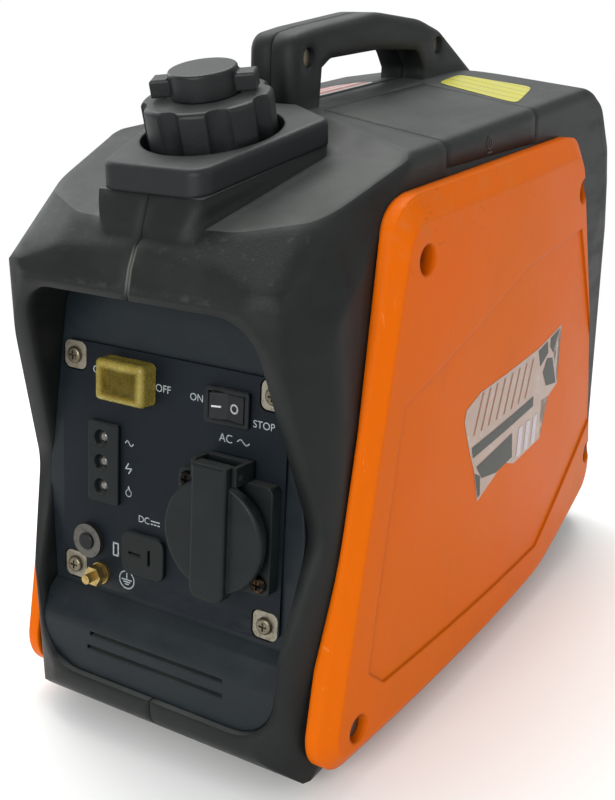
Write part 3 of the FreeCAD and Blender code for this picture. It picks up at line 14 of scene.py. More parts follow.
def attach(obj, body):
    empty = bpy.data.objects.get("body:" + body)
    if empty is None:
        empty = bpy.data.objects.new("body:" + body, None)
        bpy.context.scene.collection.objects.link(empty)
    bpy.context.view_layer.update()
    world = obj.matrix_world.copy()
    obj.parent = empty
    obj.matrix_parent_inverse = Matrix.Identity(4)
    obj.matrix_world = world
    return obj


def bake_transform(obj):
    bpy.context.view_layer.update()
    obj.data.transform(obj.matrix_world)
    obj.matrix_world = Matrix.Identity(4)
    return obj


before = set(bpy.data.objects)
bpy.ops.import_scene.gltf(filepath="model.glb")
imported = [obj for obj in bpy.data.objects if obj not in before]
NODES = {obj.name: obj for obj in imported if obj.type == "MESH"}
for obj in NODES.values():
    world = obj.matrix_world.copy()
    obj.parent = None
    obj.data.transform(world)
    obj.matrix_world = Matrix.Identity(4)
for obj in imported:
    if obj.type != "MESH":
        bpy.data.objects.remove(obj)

bl_info = {
    "name": "Inverter Generator Dressing",
    "version": (1, 0, 0),
    "blender": (4, 5, 0),
    "location": "3D View > Sidebar > Generator",
    "description": "Surfaces, marks, stickers and studio for a suitcase inverter generator",
    "category": "Object",
}

MM = 0.001
DOWN = Vector((0.0, 0.0, -1.0))
FROM_RIGHT = Vector((-1.0, 0.0, 0.0))
PANEL_LEAN = math.radians(5.13)
# Where the panel's marks are measured from: its middle, on its face.
PANEL_ORIGIN = Vector((0.0, -0.173, 0.1397))
# A film's outline lies outside the body, and each point of it is cast onto the body from this
# far before it. The lifts are how far films and prints then stand off.
CAST_REACH = 0.1
ROOF_LEVEL, RIGHT_LEVEL = 0.31, 0.1
LABEL_LIFT, DECAL_LIFT, PRINT_LIFT, CATCH_LIFT = 0.00025, 0.0002, 0.00035, 0.0003

# Where a worn or cloudy stretch begins and where it is full, in metres: the hood's lip and its
# seam, the orange covers' upper edge, the panel's foot, and the boot's walls from its middle.
HOOD_FRONT = (-0.186, -0.190)
LIP_ABOVE, LIP_BELOW = (0.2425, 0.2405), (0.2385, 0.2395)
SEAM_BESIDE = (0.0016, 0.0009)
SEAM_ABOVE, SEAM_BELOW = (0.264, 0.257), (0.236, 0.242)
COVER_TOP, COVER_FRONT = (0.232, 0.272), (0.09, -0.04)
COVER_TOP_SLOPE = 0.025
PANEL_FOOT = (0.092, 0.078)
BOOT_SIDE, BOOT_END = (0.0095, 0.0125), (0.0058, 0.0080)


# ----------------------------------------------------------------------------------------------
# Node-tree shorthand
# ----------------------------------------------------------------------------------------------
class Surface:
    """A material under construction: a Principled shader and what feeds it."""

    def __init__(self, name):
        self.material = bpy.data.materials.new(name)
        self.material.use_nodes = True
        self.tree = self.material.node_tree
        self.shader = self.tree.nodes["Principled BSDF"]
        self.place = self.add("ShaderNodeTexCoord").outputs["Object"]

    def add(self, kind, **settings):
        node = self.tree.nodes.new(kind)
        for key, setting in settings.items():
            setattr(node, key, setting)
        return node

    def join(self, source, target):
        self.tree.links.new(source, target)

    def feed(self, target, source):
        """Links a socket, or sets a plain value."""
        if isinstance(source, bpy.types.NodeSocket):
            self.join(source, target)
        else:
            target.default_value = source

    def noise(self, scale, detail=3.0, roughness=0.5, place=None):
        node = self.add("ShaderNodeTexNoise")
        self.join(place or self.place, node.inputs["Vector"])
        node.inputs["Scale"].default_value = scale
        node.inputs["Detail"].default_value = detail
        node.inputs["Roughness"].default_value = roughness
        return node.outputs["Fac"]

    def cells(self, scale, place=None):
        """How far each point is from the middle of its cell."""
        node = self.add("ShaderNodeTexVoronoi")
        self.join(place or self.place, node.inputs["Vector"])
        node.inputs["Scale"].default_value = scale
        return node.outputs["Distance"]

    def stretched(self, x=1.0, y=1.0, z=1.0, turn=(0.0, 0.0, 0.0)):
        node = self.add("ShaderNodeMapping")
        self.join(self.place, node.inputs["Vector"])
        node.inputs["Scale"].default_value = (x, y, z)
        node.inputs["Rotation"].default_value = turn
        return node.outputs["Vector"]

    def band(self, source, low, high, start=0.0, end=1.0):
        """The source between low and high, mapped to start and end, and held beyond them."""
        node = self.add("ShaderNodeMapRange")
        self.feed(node.inputs["Value"], source)
        for name, number in (("From Min", low), ("From Max", high), ("To Min", start), ("To Max", end)):
            node.inputs[name].default_value = number
        return node.outputs["Result"]

    def maths(self, operation, first, second=0.0):
        node = self.add("ShaderNodeMath", operation=operation)
        self.feed(node.inputs[0], first)
        self.feed(node.inputs[1], second)
        return node.outputs[0]

    def times(self, first, *others):
        for other in others:
            first = self.maths("MULTIPLY", first, other)
        return first

    def axis(self, letter, place=None):
        node = self.add("ShaderNodeSeparateXYZ")
        self.join(place or self.place, node.inputs[0])
        return node.outputs[letter]

    def facing(self, letter):
        """The surface normal's part along one axis."""
        geometry = self.add("ShaderNodeNewGeometry")
        return self.axis(letter, geometry.outputs["Normal"])

    def mix(self, amount, first, second):
        node = self.add("ShaderNodeMix", data_type="RGBA")
        self.feed(node.inputs["Factor"], amount)
        for socket, colour in zip((node.inputs[6], node.inputs[7]), (first, second)):
            self.feed(socket, colour if isinstance(colour, bpy.types.NodeSocket) else (*colour, 1.0))
        return node.outputs[2]

    def bump(self, height, distance, strength=1.0, under=None):
        """Relief this many metres deep, over the normals of under."""
        node = self.add("ShaderNodeBump")
        node.inputs["Strength"].default_value = strength
        node.inputs["Distance"].default_value = distance
        self.join(height, node.inputs["Height"])
        if under is not None:
            self.join(under, node.inputs["Normal"])
        return node.outputs["Normal"]

    def softened(self, radius):
        """Normals rounded over sharp edges by this radius."""
        node = self.add("ShaderNodeBevel", samples=6)
        node.inputs["Radius"].default_value = radius
        return node.outputs["Normal"]

    def finish(self, colour, roughness, normal=None, **fixed):
        self.feed(self.shader.inputs["Base Color"], colour)
        self.feed(self.shader.inputs["Roughness"], roughness)
        if normal is not None:
            self.join(normal, self.shader.inputs["Normal"])
        for name, number in fixed.items():
            self.shader.inputs[name.replace("_", " ")].default_value = number
        return self.material

    def cross(self, share, first, second):
        """Ends the material in two shaders, mixed by share."""
        blend = self.add("ShaderNodeMixShader")
        for socket, source in zip(blend.inputs, (share, first, second)):
            self.join(source, socket)
        self.join(blend.outputs[0], self.tree.nodes["Material Output"].inputs["Surface"])
        return self.material


# ----------------------------------------------------------------------------------------------
# Surfaces
# ----------------------------------------------------------------------------------------------
def moulded(name, colour, light, rough=0.5, grain=1400.0, depth=0.00006, dust=0.12, wear=None,
            edge=0.0012, shine=0.26):
    """Spark-textured moulding with uneven tone, handling marks, dust that settles on top, and painted
    sheen that pales the tops.

    wear is a function of the surface that returns where the moulding is rubbed pale, and edge
    is the radius that the moulding's edges look rounded by. shine is its specular level.
    """
    s = Surface(name)
    tone = s.band(s.noise(9.0, 4.0, 0.6), 0.35, 0.7)
    smear = s.band(s.noise(38.0, 5.0, 0.65, s.stretched(1.0, 0.35, 1.6)), 0.45, 0.75)
    base = s.mix(s.times(tone, 0.6), colour, light)
    worn = s.mix(s.times(smear, 0.3), base, tuple(1.3 * c + 0.004 for c in light))
    if wear is not None:
        worn = s.mix(wear(s), worn, (0.11, 0.11, 0.10))
    upward = s.band(s.facing("Z"), 0.35, 1.0)
    specks = s.band(s.noise(240.0, 6.0, 0.7), 0.56, 0.82)
    powder = s.times(upward, specks, dust)
    # film is partly a thin dust film and partly painted sheen: a pale haze on faces that look up,
    # lightening the tops as the white surroundings' reflection would.
    film = s.times(s.band(s.facing("Z"), 0.78, 1.0),
                   s.band(s.noise(24.0, 5.0, 0.65), 0.2, 0.8, 0.07, 0.16))
    # Dust specks and the painted sheen on top both pale the moulding towards the same grey.
    paled = s.mix(s.maths("MAXIMUM", powder, film), worn, (0.36, 0.38, 0.36))
    pits = s.cells(grain)
    grain_height = s.maths("ADD", pits, s.times(s.noise(grain * 0.6, 3.0), 0.8))
    handled = s.band(smear, 0.0, 1.0, rough - 0.06, rough + 0.10)
    roughness = s.maths("ADD", handled, s.times(powder, 0.4))
    return s.finish(paled, roughness, s.bump(grain_height, depth, 0.7, s.softened(edge)),
                    Specular_IOR_Level=shine)


def hood_wear(s):
    """Where the hood is rubbed: along its lip, and on both sides of the centre seam above it."""
    rubbed = s.band(s.noise(90.0, 6.0, 0.75), 0.50, 0.80)
    front = s.band(s.axis("Y"), *HOOD_FRONT)
    lip = s.times(s.band(s.axis("Z"), *LIP_ABOVE), s.band(s.axis("Z"), *LIP_BELOW))
    line = s.times(lip, rubbed, 0.35)
    beside = s.band(s.maths("ABSOLUTE", s.axis("X")), *SEAM_BESIDE)
    high = s.times(s.band(s.axis("Z"), *SEAM_ABOVE), s.band(s.axis("Z"), *SEAM_BELOW))
    seam = s.times(beside, high, 0.9)
    return s.times(s.maths("MAXIMUM", line, seam), front)


def painted_cover(name):
    """Orange moulding, sun-faded in the middle, scuffed and nicked along its upper edge."""
    s = Surface(name)
    fade = s.band(s.noise(6.0, 3.0, 0.55), 0.3, 0.75)
    base = s.mix(fade, (0.60, 0.100, 0.0), (0.55, 0.108, 0.001))
    grime = s.band(s.noise(26.0, 6.0, 0.7, s.stretched(1.0, 1.0, 0.6)), 0.52, 0.82)
    dirty = s.mix(s.times(grime, 0.25), base, (0.30, 0.09, 0.02))
    top_line = s.maths("SUBTRACT", s.axis("Z"), s.times(s.axis("Y"), COVER_TOP_SLOPE))
    zone = s.times(s.band(top_line, *COVER_TOP), s.band(s.axis("Y"), *COVER_FRONT))
    nicks = s.band(s.cells(150.0, place=s.stretched(1.0, 1.0, 2.0)), 0.22, 0.08)
    chosen = s.band(s.noise(34.0, 2.0), 0.50, 0.60)
    chips = s.times(nicks, chosen, zone)
    chipped = s.mix(s.times(chips, 0.85), dirty, (0.20, 0.075, 0.025))
    rubbed = s.times(s.band(s.noise(70.0, 5.0, 0.7), 0.5, 0.7), zone)
    faded = s.mix(s.times(rubbed, 0.3), chipped, (0.42, 0.16, 0.05))
    hair = s.band(s.noise(90.0, 2.0, 0.5, s.stretched(1.0, 7.0, 1.2, (0.6, 0.0, 0.0))), 0.70, 0.73)
    hairs = s.mix(s.times(hair, 0.15), faded, (0.80, 0.30, 0.10))
    smudge = s.band(s.noise(14.0, 5.0, 0.6), 0.35, 0.75, 0.36, 0.50)
    orange_peel = s.maths("ADD", s.noise(900.0, 2.0), s.times(s.noise(120.0, 2.0), 0.6))
    return s.finish(hairs, smudge, s.bump(orange_peel, 0.00004, 0.5, s.softened(0.003)),
                    Specular_IOR_Level=0.05)


def printed_panel(name):
    """Blue-black panel plate with a fine sand texture, finger marks and a rubbed lower edge."""
    s = Surface(name)
    tone = s.band(s.noise(16.0, 4.0, 0.6), 0.35, 0.7)
    base = s.mix(tone, (0.0030, 0.0052, 0.0078), (0.0062, 0.0095, 0.0130))
    dust = s.band(s.noise(350.0, 6.0, 0.75), 0.6, 0.85)
    paled = s.mix(s.times(dust, 0.05), base, (0.20, 0.22, 0.22))
    low = s.band(s.axis("Z"), *PANEL_FOOT)
    rub = s.times(low, s.band(s.noise(70.0, 6.0, 0.75, s.stretched(0.4, 1.0, 1.6)), 0.45, 0.75))
    rubbed = s.mix(s.times(rub, 0.28), paled, (0.10, 0.095, 0.08))
    roughness = s.band(s.noise(30.0, 4.0, 0.6), 0.3, 0.7, 0.42, 0.58)
    return s.finish(rubbed, roughness, s.bump(s.noise(2200.0, 3.0), 0.00004, 0.5),
                    Specular_IOR_Level=0.12)


def plated(name, colour, dark, rough=0.35, rust=0.25, dark_between=None):
    """Plated steel dulled in spots; between the two heights of dark_between it is blackened."""
    s = Surface(name)
    spots = s.band(s.noise(330.0, 5.0, 0.7), 0.5, 0.72)
    base = s.mix(s.times(spots, 0.7), colour, dark)
    if dark_between:
        low, high = dark_between
        inside = s.times(s.band(s.axis("Z"), low, low + MM), s.band(s.axis("Z"), high, high - MM))
        base = s.mix(inside, base, tuple(0.12 * c for c in dark))
    brown = s.band(s.noise(160.0, 4.0, 0.7), 0.56, 0.72)
    aged = s.mix(s.times(brown, rust), base, (0.16, 0.085, 0.04))
    roughness = s.band(spots, 0.0, 1.0, rough, rough + 0.25)
    return s.finish(aged, roughness, s.bump(s.noise(1500.0, 3.0), 0.00003, 0.4), Metallic=0.9)


def cast_metal(name, colour, dark, rough=0.5, grain=700.0):
    """Sand-cast metal, blotched and shiny where oil has dried on it."""
    s = Surface(name)
    blotch = s.band(s.noise(40.0, 5.0, 0.65), 0.35, 0.7)
    base = s.mix(blotch, colour, dark)
    oil = s.band(s.noise(18.0, 4.0, 0.6), 0.58, 0.75)
    oily = s.mix(s.times(oil, 0.4), base, (0.05, 0.04, 0.03))
    roughness = s.band(oil, 0.0, 1.0, rough, rough - 0.2)
    return s.finish(oily, roughness, s.bump(s.noise(grain, 5.0, 0.7), 0.00015, 0.6), Metallic=0.85)


def rubbery(name, colour, light, grain=1800.0):
    """Matt rubber with a pale bloom."""
    s = Surface(name)
    bloom = s.band(s.noise(60.0, 5.0, 0.7), 0.4, 0.75)
    base = s.mix(bloom, colour, light)
    return s.finish(base, s.band(bloom, 0.0, 1.0, 0.62, 0.8), s.bump(s.noise(grain, 4.0), 0.00005, 0.6))


def middle_of(name):
    """The middle of a CAD node's box."""
    corners = [NODES[name].matrix_world @ Vector(corner) for corner in NODES[name].bound_box]
    return (Vector(map(min, *corners)) + Vector(map(max, *corners))) / 2


def clear_vinyl(name, middle):
    """Yellowed see-through boot: thin and clear on its faces, cloudy and dirty along its edges."""
    s = Surface(name)
    cloud = s.band(s.noise(130.0, 5.0, 0.65), 0.3, 0.7)
    base = s.mix(cloud, (0.27, 0.21, 0.035), (0.38, 0.31, 0.075))
    dirt = s.band(s.noise(300.0, 4.0, 0.7), 0.6, 0.75)
    dirty = s.mix(s.times(dirt, 0.4), base, (0.16, 0.12, 0.03))
    s.finish(dirty, s.band(cloud, 0.0, 1.0, 0.16, 0.30), s.bump(s.noise(260.0, 3.0), 0.0001, 0.5))
    clear = s.add("ShaderNodeBsdfTransparent")
    clear.inputs["Color"].default_value = (0.90, 0.82, 0.42, 1.0)
    across = s.maths("ABSOLUTE", s.maths("SUBTRACT", s.axis("X"), middle.x))
    up = s.maths("ABSOLUTE", s.maths("SUBTRACT", s.axis("Z"), middle.z))
    wall = s.maths("MAXIMUM", s.band(across, *BOOT_SIDE), s.band(up, *BOOT_END))
    cloudy = s.band(s.maths("MAXIMUM", dirt, cloud), 0.0, 1.0, 0.05, 0.15)
    share = s.maths("ADD", cloudy, s.times(wall, 0.45))
    return s.cross(share, clear.outputs[0], s.shader.outputs[0])


def lens(name):
    """Smoked lamp window with a glossy face."""
    s = Surface(name)
    depth = s.band(s.noise(500.0, 3.0), 0.3, 0.7)
    base = s.mix(depth, (0.06, 0.055, 0.055), (0.16, 0.15, 0.14))
    return s.finish(base, s.band(depth, 0.0, 1.0, 0.12, 0.24), s.bump(s.noise(900.0), 0.00003, 0.3),
                    Transmission_Weight=0.2, Coat_Weight=0.6)


def braided(name):
    """Pale cord with a slanting braid, greyed by handling."""
    s = Surface(name)
    weave = s.add("ShaderNodeTexWave", wave_type="BANDS", bands_direction="DIAGONAL")
    s.join(s.place, weave.inputs["Vector"])
    weave.inputs["Scale"].default_value = 320.0
    weave.inputs["Distortion"].default_value = 1.5
    strands = weave.outputs["Fac"]
    base = s.mix(strands, (0.42, 0.40, 0.35), (0.75, 0.73, 0.68))
    worn = s.mix(s.band(s.noise(70.0, 4.0), 0.5, 0.8, 0.0, 0.5), base, (0.2, 0.18, 0.15))
    return s.finish(worn, s.band(strands, 0.0, 1.0, 0.9, 0.75), s.bump(strands, 0.0003, 0.8))


def sticker(name, first, second, stripe_place, edges, wear=0.35):
    """Printed film: a base colour, bars across it, and print rubbed away in patches.

    stripe_place scales and turns the bars, and edges are where a bar starts and ends in its step.
    """
    s = Surface(name)
    soft = 0.02
    across = s.axis("X", s.stretched(*stripe_place))
    step = s.maths("FRACT", across)
    start, end = edges
    bars = s.times(s.band(step, start, start + soft), s.band(step, end, end - soft))
    print_colour = s.mix(bars, first, second)
    rub = s.band(s.noise(140.0, 6.0, 0.75), 0.56, 0.66)
    worn = s.mix(s.times(rub, wear), print_colour, (0.45, 0.40, 0.34))
    roughness = s.band(s.noise(60.0, 4.0), 0.3, 0.7, 0.25, 0.42)
    return s.finish(worn, roughness, s.bump(s.noise(300.0, 4.0, 0.7), 0.00005, 0.4))


def ink(name, colour, worn_colour):
    """Flat print that has faded in specks; the hatch's catch also uses it, as painted shade."""
    s = Surface(name)
    fade = s.band(s.noise(700.0, 4.0, 0.7), 0.52, 0.7)
    return s.finish(s.mix(s.times(fade, 0.6), colour, worn_colour),
                    s.band(fade, 0.0, 1.0, 0.5, 0.65), s.bump(s.noise(1500.0), 0.00002, 0.3))


def dress(material, *names):
    """Puts a material on CAD nodes."""
    for name in names:
        slots = NODES[name].material_slots
        if not slots:
            raise RuntimeError(f"{name} has no material slot")
        for slot in slots:
            slot.material = material


def dress_nodes():
    dress(moulded("body_plastic", (0.0050, 0.0062, 0.0062), (0.0115, 0.0135, 0.0128), wear=hood_wear,
                  edge=0.009, shine=0.2),
          "left_body_half", "right_body_half", "rear_grille", "spark_plug_hatch")
    dress(moulded("bezel_plastic", (0.0055, 0.0065, 0.0075), (0.0105, 0.0120, 0.0130), rough=0.55,
                  edge=0.002),
          "filler_bezel")
    dress(moulded("cap_plastic", (0.0048, 0.0060, 0.0068), (0.0105, 0.0120, 0.0120), rough=0.44,
                  grain=900.0),
          "fuel_cap", "vent_knob")
    dress(moulded("front_plastic", (0.0040, 0.0068, 0.0095), (0.0085, 0.0130, 0.0160), rough=0.45,
                  dust=0.06, shine=0.2),
          "front_cover")
    dress(printed_panel("panel_face"), "control_panel")
    dress(painted_cover("orange_cover"), "left_side_cover", "right_side_cover")
    dress(plated("screw_steel", (0.22, 0.19, 0.14), (0.07, 0.055, 0.04), rust=0.5), "handle_screws")
    dress(plated("panel_screw_steel", (0.16, 0.14, 0.10), (0.04, 0.033, 0.024), rust=0.6,
                 dark_between=(0.098, 0.170)), "panel_screws")
    dress(plated("cover_screw_steel", (0.06, 0.045, 0.035), (0.02, 0.016, 0.013), rust=0.4),
          "side_cover_screws")
    dress(plated("pad_plate", (0.26, 0.24, 0.19), (0.045, 0.040, 0.030), rough=0.5, rust=0.7),
          "panel_corner_pads")
    dress(plated("collar_plate", (0.10, 0.097, 0.088), (0.03, 0.028, 0.025)),
          "protector_collar", "lid_hinge_pin")
    dress(plated("brass_part", (0.42, 0.30, 0.11), (0.12, 0.08, 0.03), rough=0.3),
          "earth_stud", "earth_nut", "ac_socket_contacts")
    dress(moulded("switch_plastic", (0.0035, 0.0042, 0.0052), (0.0080, 0.0090, 0.0105), rough=0.38,
                  grain=2600.0, dust=0.06, shine=0.2),
          "econ_switch_housing", "econ_rocker", "engine_switch_housing", "engine_rocker",
          "protector_button", "choke_knob", "starter_grip", "oil_filler_cap", "recoil_reel")
    dress(moulded("socket_plastic", (0.0045, 0.0062, 0.0066), (0.0090, 0.0115, 0.0118), rough=0.42,
                  grain=2000.0, dust=0.10, shine=0.16),
          "ac_socket_body", "ac_socket_lid", "dc_socket", "indicator_block")
    dress(clear_vinyl("clear_boot", middle_of("econ_boot")), "econ_boot")
    dress(lens("lamp_lens"), "indicator_lamps")
    dress(moulded("inner_plastic", (0.012, 0.012, 0.012), (0.03, 0.03, 0.03), rough=0.55),
          "fuel_tank", "air_cleaner_case", "recoil_housing", "cooling_fan", "ignition_coil")
    dress(rubbery("foot_rubber", (0.006, 0.006, 0.006), (0.020, 0.019, 0.018)),
          "rubber_feet", "engine_mounts", "fuel_hose", "ignition_lead", "spark_plug_cap")
    dress(braided("starter_cord"), "starter_rope")
    dress(cast_metal("cast_alloy", (0.50, 0.50, 0.50), (0.33, 0.33, 0.33)),
          "crankcase", "cylinder_barrel", "cylinder_head", "rocker_cover", "piston", "inverter_module",
          "carburettor", "fuel_valve")
    dress(cast_metal("dark_steel", (0.30, 0.30, 0.31), (0.17, 0.16, 0.15), rough=0.42),
          "crankshaft", "magnet_rotor", "stator", "muffler", "spark_plug", "base_tray")


# ----------------------------------------------------------------------------------------------
# Mesh shorthand
# ----------------------------------------------------------------------------------------------
def on_panel(x, depth, v):
    """A point given across, out of (negative) and up the leaning control panel, in mm."""
    lean = Matrix.Rotation(-PANEL_LEAN, 3, "X")
    return PANEL_ORIGIN + lean @ (Vector((x, depth, v)) * MM)


def place_mesh(name, built, material):
    """Closes a bmesh and puts it in the scene as an object at the origin."""
    data = bpy.data.meshes.new(name)
    built.to_mesh(data)
    built.free()
    data.materials.clear()
    data.materials.append(material)
    placed = bpy.data.objects.new(name, data)
    bpy.context.scene.collection.objects.link(placed)
    return placed


def make_piece(name, mesh_builder, material, body):
    """A new piece from bmesh code, riding on a body unless body is None."""
    built = bmesh.new()
    mesh_builder(built)
    bmesh.ops.recalc_face_normals(built, faces=built.faces)
    return ride_and_slot(place_mesh(name, built, material), body)


def ride_and_slot(piece, body):
    if body is not None:
        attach(piece, body)
    return piece


def surface_tree(name):
    """A search tree of a CAD node's own triangles, in the row frame."""
    data = NODES[name].data
    points = [NODES[name].matrix_world @ vertex.co for vertex in data.vertices]
    return BVHTree.FromPolygons(points, [tuple(face.vertices) for face in data.polygons])


def pressed(point, look, tree, lift, reach=CAST_REACH):
    """Where a point lands on the tree, seen along look from reach before it, held off by lift."""
    hit = tree.ray_cast(point - look * reach, look)[0]
    if hit is None:
        raise RuntimeError("a film has nothing under it")
    return hit - look * lift


def draped(built, corners, tree, reach=CAST_REACH):
    """A four-cornered film laid on a roof: a grid cast straight down onto the tree.

    corners run round the film, in X and Y.
    """
    columns, lines = 36, 24
    a, b, c, d = (Vector((x, y, ROOF_LEVEL)) for x, y in corners)
    rows = []
    for i in range(columns + 1):
        row = []
        for j in range(lines + 1):
            s, t = rounded_share(i / columns, j / lines)
            target = a.lerp(b, s).lerp(d.lerp(c, s), t)
            row.append(built.verts.new(pressed(target, DOWN, tree, LABEL_LIFT, reach)))
        rows.append(row)
    for i in range(columns):
        for j in range(lines):
            built.faces.new((rows[i][j], rows[i + 1][j], rows[i + 1][j + 1], rows[i][j + 1]))


def rounded_share(s, t, pull_in=0.08):
    """Pulls a unit square's corners in to a rounded square."""
    u, v = 2 * s - 1, 2 * t - 1
    pull = pull_in * (abs(u) * abs(v)) ** 6
    return 0.5 + 0.5 * u * (1 - pull), 0.5 + 0.5 * v * (1 - pull)


# ----------------------------------------------------------------------------------------------
# Films and marks
# ----------------------------------------------------------------------------------------------
def side_patch(built, outline, tree, lift):
    """A film on the right side: a flat sheet cut fine, then pressed onto the tree.

    outline is in Y and Z in mm.
    """
    longest, rounds = 0.004, 5
    sheet = bmesh.new()
    sheet.faces.new([sheet.verts.new((RIGHT_LEVEL, y * MM, z * MM)) for y, z in outline])
    bmesh.ops.triangulate(sheet, faces=sheet.faces)
    for _ in range(rounds):
        long_edges = [edge for edge in sheet.edges if edge.calc_length() > longest]
        if not long_edges:
            break
        bmesh.ops.subdivide_edges(sheet, edges=long_edges, cuts=1)
        bmesh.ops.triangulate(sheet, faces=sheet.faces)
    placed = {vertex: built.verts.new(pressed(vertex.co, FROM_RIGHT, tree, lift))
              for vertex in sheet.verts}
    for face in sheet.faces:
        built.faces.new([placed[vertex] for vertex in face.verts])
    sheet.free()


def roof_label():
    """Yellow film beside the filler cap, with darker rows across it."""
    tree = surface_tree("right_body_half")
    corners = ((0.023, 0.054), (0.074, 0.048), (0.062, 0.100), (0.020, 0.088))
    film = sticker("yellow_film", (0.50, 0.47, 0.035), (0.36, 0.33, 0.03),
                   stripe_place=(0.0, 90.0, 0.0, (0.0, 0.0, 1.57)), edges=(0.55, 0.75), wear=0.3)
    make_piece("roof_label", lambda built: draped(built, corners, tree), film,
               "machine")


def handle_label():
    """Red film with pale bars, on the roof under the handle."""
    tree = surface_tree("left_body_half")
    under_handle = 0.003
    near, far, front, back = -0.0035, -0.034, -0.036, 0.030
    corners = ((near, front), (near, back), (far, back), (far, front))
    film = sticker("red_film", (0.42, 0.06, 0.045), (0.60, 0.58, 0.55),
                   stripe_place=(95.0, 0.0, 0.0), edges=(0.30, 0.72), wear=0.25)
    make_piece("handle_label", lambda built: draped(built, corners, tree, under_handle), film,
               "machine")


# Shapes of the worn decal on the right cover, as places in Y and Z in mm.
DECAL_FILM = ((74, 175), (62, 161), (73, 139), (58, 135), (46, 136), (48, 112), (8, 110), (-8, 116),
              (-18, 112), (-40, 105), (-46, 125), (-53, 139), (-60, 156), (-58, 162), (-42, 167),
              (-10, 168), (37, 170))
DECAL_WEDGES = (
    ((-50, 139), (33, 142.5), (33, 136.5), (-48, 132.5)),
    ((-43, 126), (3, 130), (5, 115), (-17, 113.5), (-36, 117)),
    ((-45, 123), (-38, 119), (-37, 108), (-39.5, 107)),
    ((37, 168.5), (51, 170.5), (53, 163), (41, 158)),
    ((56, 171), (71, 173.5), (61.5, 161), (56, 166)),
    ((52, 160), (61, 158), (70, 140), (53, 143), (46, 153)),
)
DECAL_SLITS = tuple(((y, 145), (y + 1.6, 145), (y + 11.0, 166), (y + 9.4, 166))
                    for y in (-49, -40, -31, -21, -11, -1, 9, 19))
DECAL_BLOCKS = tuple(((y, 112.5), (y + 6, 112.5), (y + 8, 129.5), (y + 2, 129.5))
                     for y in (11, 22, 33))


def cover_decal():
    """A worn silver film with dark wedges and slits, and no lettering."""
    tree = surface_tree("right_side_cover")

    def layer(name, outlines, lift, material):
        def build(built):
            for outline in outlines:
                side_patch(built, outline, tree, lift)
        make_piece(name, build, material, "machine")

    silver = sticker("decal_film", (0.36, 0.25, 0.20), (0.48, 0.35, 0.29),
                     stripe_place=(1.0, 60.0, 24.0, (0.35, 0.0, 0.0)), edges=(0.30, 0.62), wear=0.5)
    dark = ink("decal_dark", (0.030, 0.034, 0.030), (0.16, 0.13, 0.10))
    brown = ink("decal_brown", (0.30, 0.10, 0.04), (0.42, 0.22, 0.14))
    white = ink("decal_white", (0.50, 0.46, 0.50), (0.36, 0.22, 0.16))
    layer("cover_decal", (DECAL_FILM,), DECAL_LIFT, silver)
    layer("decal_wedges", DECAL_WEDGES, PRINT_LIFT, dark)
    layer("decal_slits", DECAL_SLITS, PRINT_LIFT, brown)
    layer("decal_blocks", DECAL_BLOCKS, PRINT_LIFT, white)


def hatch_catch():
    """Painted shade for the grooves of a small moulded pictogram of a turn-and-lift catch on the
    hatch's side: a dark flat film in its shape.
    """
    tree = surface_tree("spark_plug_hatch")
    middle_y, middle_z, outer, inner, facets = -15.0, 289.0, 3.4, 2.5, 20
    bars = (((-15.6, 287.2), (-14.4, 287.2), (-14.4, 290.8), (-15.6, 290.8)),
            ((-18.0, 283.6), (-12.0, 283.6), (-12.0, 284.6), (-18.0, 284.6)))

    def ring_facet(n):
        start, end = (math.tau * (n + i) / facets for i in (0, 1))
        return [(middle_y + radius * math.cos(turn), middle_z + radius * math.sin(turn))
                for radius, turn in ((outer, start), (outer, end), (inner, end), (inner, start))]

    def build(built):
        for outline in [*map(ring_facet, range(facets)), *bars]:
            side_patch(built, outline, tree, CATCH_LIFT)

    # Painted shade: the catch is moulded in the hatch's own plastic, and this near-black film stands
    # for the shade in its grooves.
    groove_shade = ink("catch_groove_shade", (0.004, 0.004, 0.004), (0.012, 0.012, 0.012))
    make_piece("hatch_catch", build, groove_shade, "plug_hatch")


# The marks' middle level out of the panel in mm, a capital's height as a share of the font size,
# and how far a letter reaches to each side of its level, in metres.
MARK_DEPTH = -0.06
CAPITAL_SHARE = 0.69
LETTER_REACH = 0.00003
PANEL_WORDS = (
    # words, centre across, centre up, letter height in mm
    ("ON", -42.5, 49.5, 3.6), ("OFF", -3.5, 47.0, 3.6),
    ("ON", 16.0, 46.5, 3.4), ("STOP", 53.4, 40.4, 3.4),
    ("AC", 33.0, 30.5, 3.8), ("DC", -14.0, -20.5, 3.4),
)


def written(words, height):
    """Flat letters as a mesh in the XY plane, centred, with capitals of this height."""
    curve = bpy.data.curves.new("letters", "FONT")
    curve.body = words
    curve.size = height * MM / CAPITAL_SHARE
    curve.align_x = "CENTER"
    curve.align_y = "CENTER"
    curve.extrude = LETTER_REACH
    holder = bpy.data.objects.new("letters", curve)
    bpy.context.scene.collection.objects.link(holder)
    bpy.context.view_layer.update()
    solid = holder.evaluated_get(bpy.context.evaluated_depsgraph_get())
    data = bpy.data.meshes.new_from_object(solid)
    bpy.data.objects.remove(holder)
    return data


def stroke(built, points, width=0.6, depth=MARK_DEPTH):
    """A flat ribbon on the panel along points given in mm across and up."""
    for (x0, v0), (x1, v1) in zip(points, points[1:]):
        along = Vector((x1 - x0, v1 - v0)).normalized()
        side = Vector((-along.y, along.x)) * width / 2
        reach = along * width * 0.35
        corners = ((x0, v0, -1, 1), (x1, v1, 1, 1), (x1, v1, 1, -1), (x0, v0, -1, -1))
        built.faces.new([
            built.verts.new(on_panel(x + end * reach.x + edge * side.x, depth,
                                     v + end * reach.y + edge * side.y))
            for x, v, end, edge in corners])


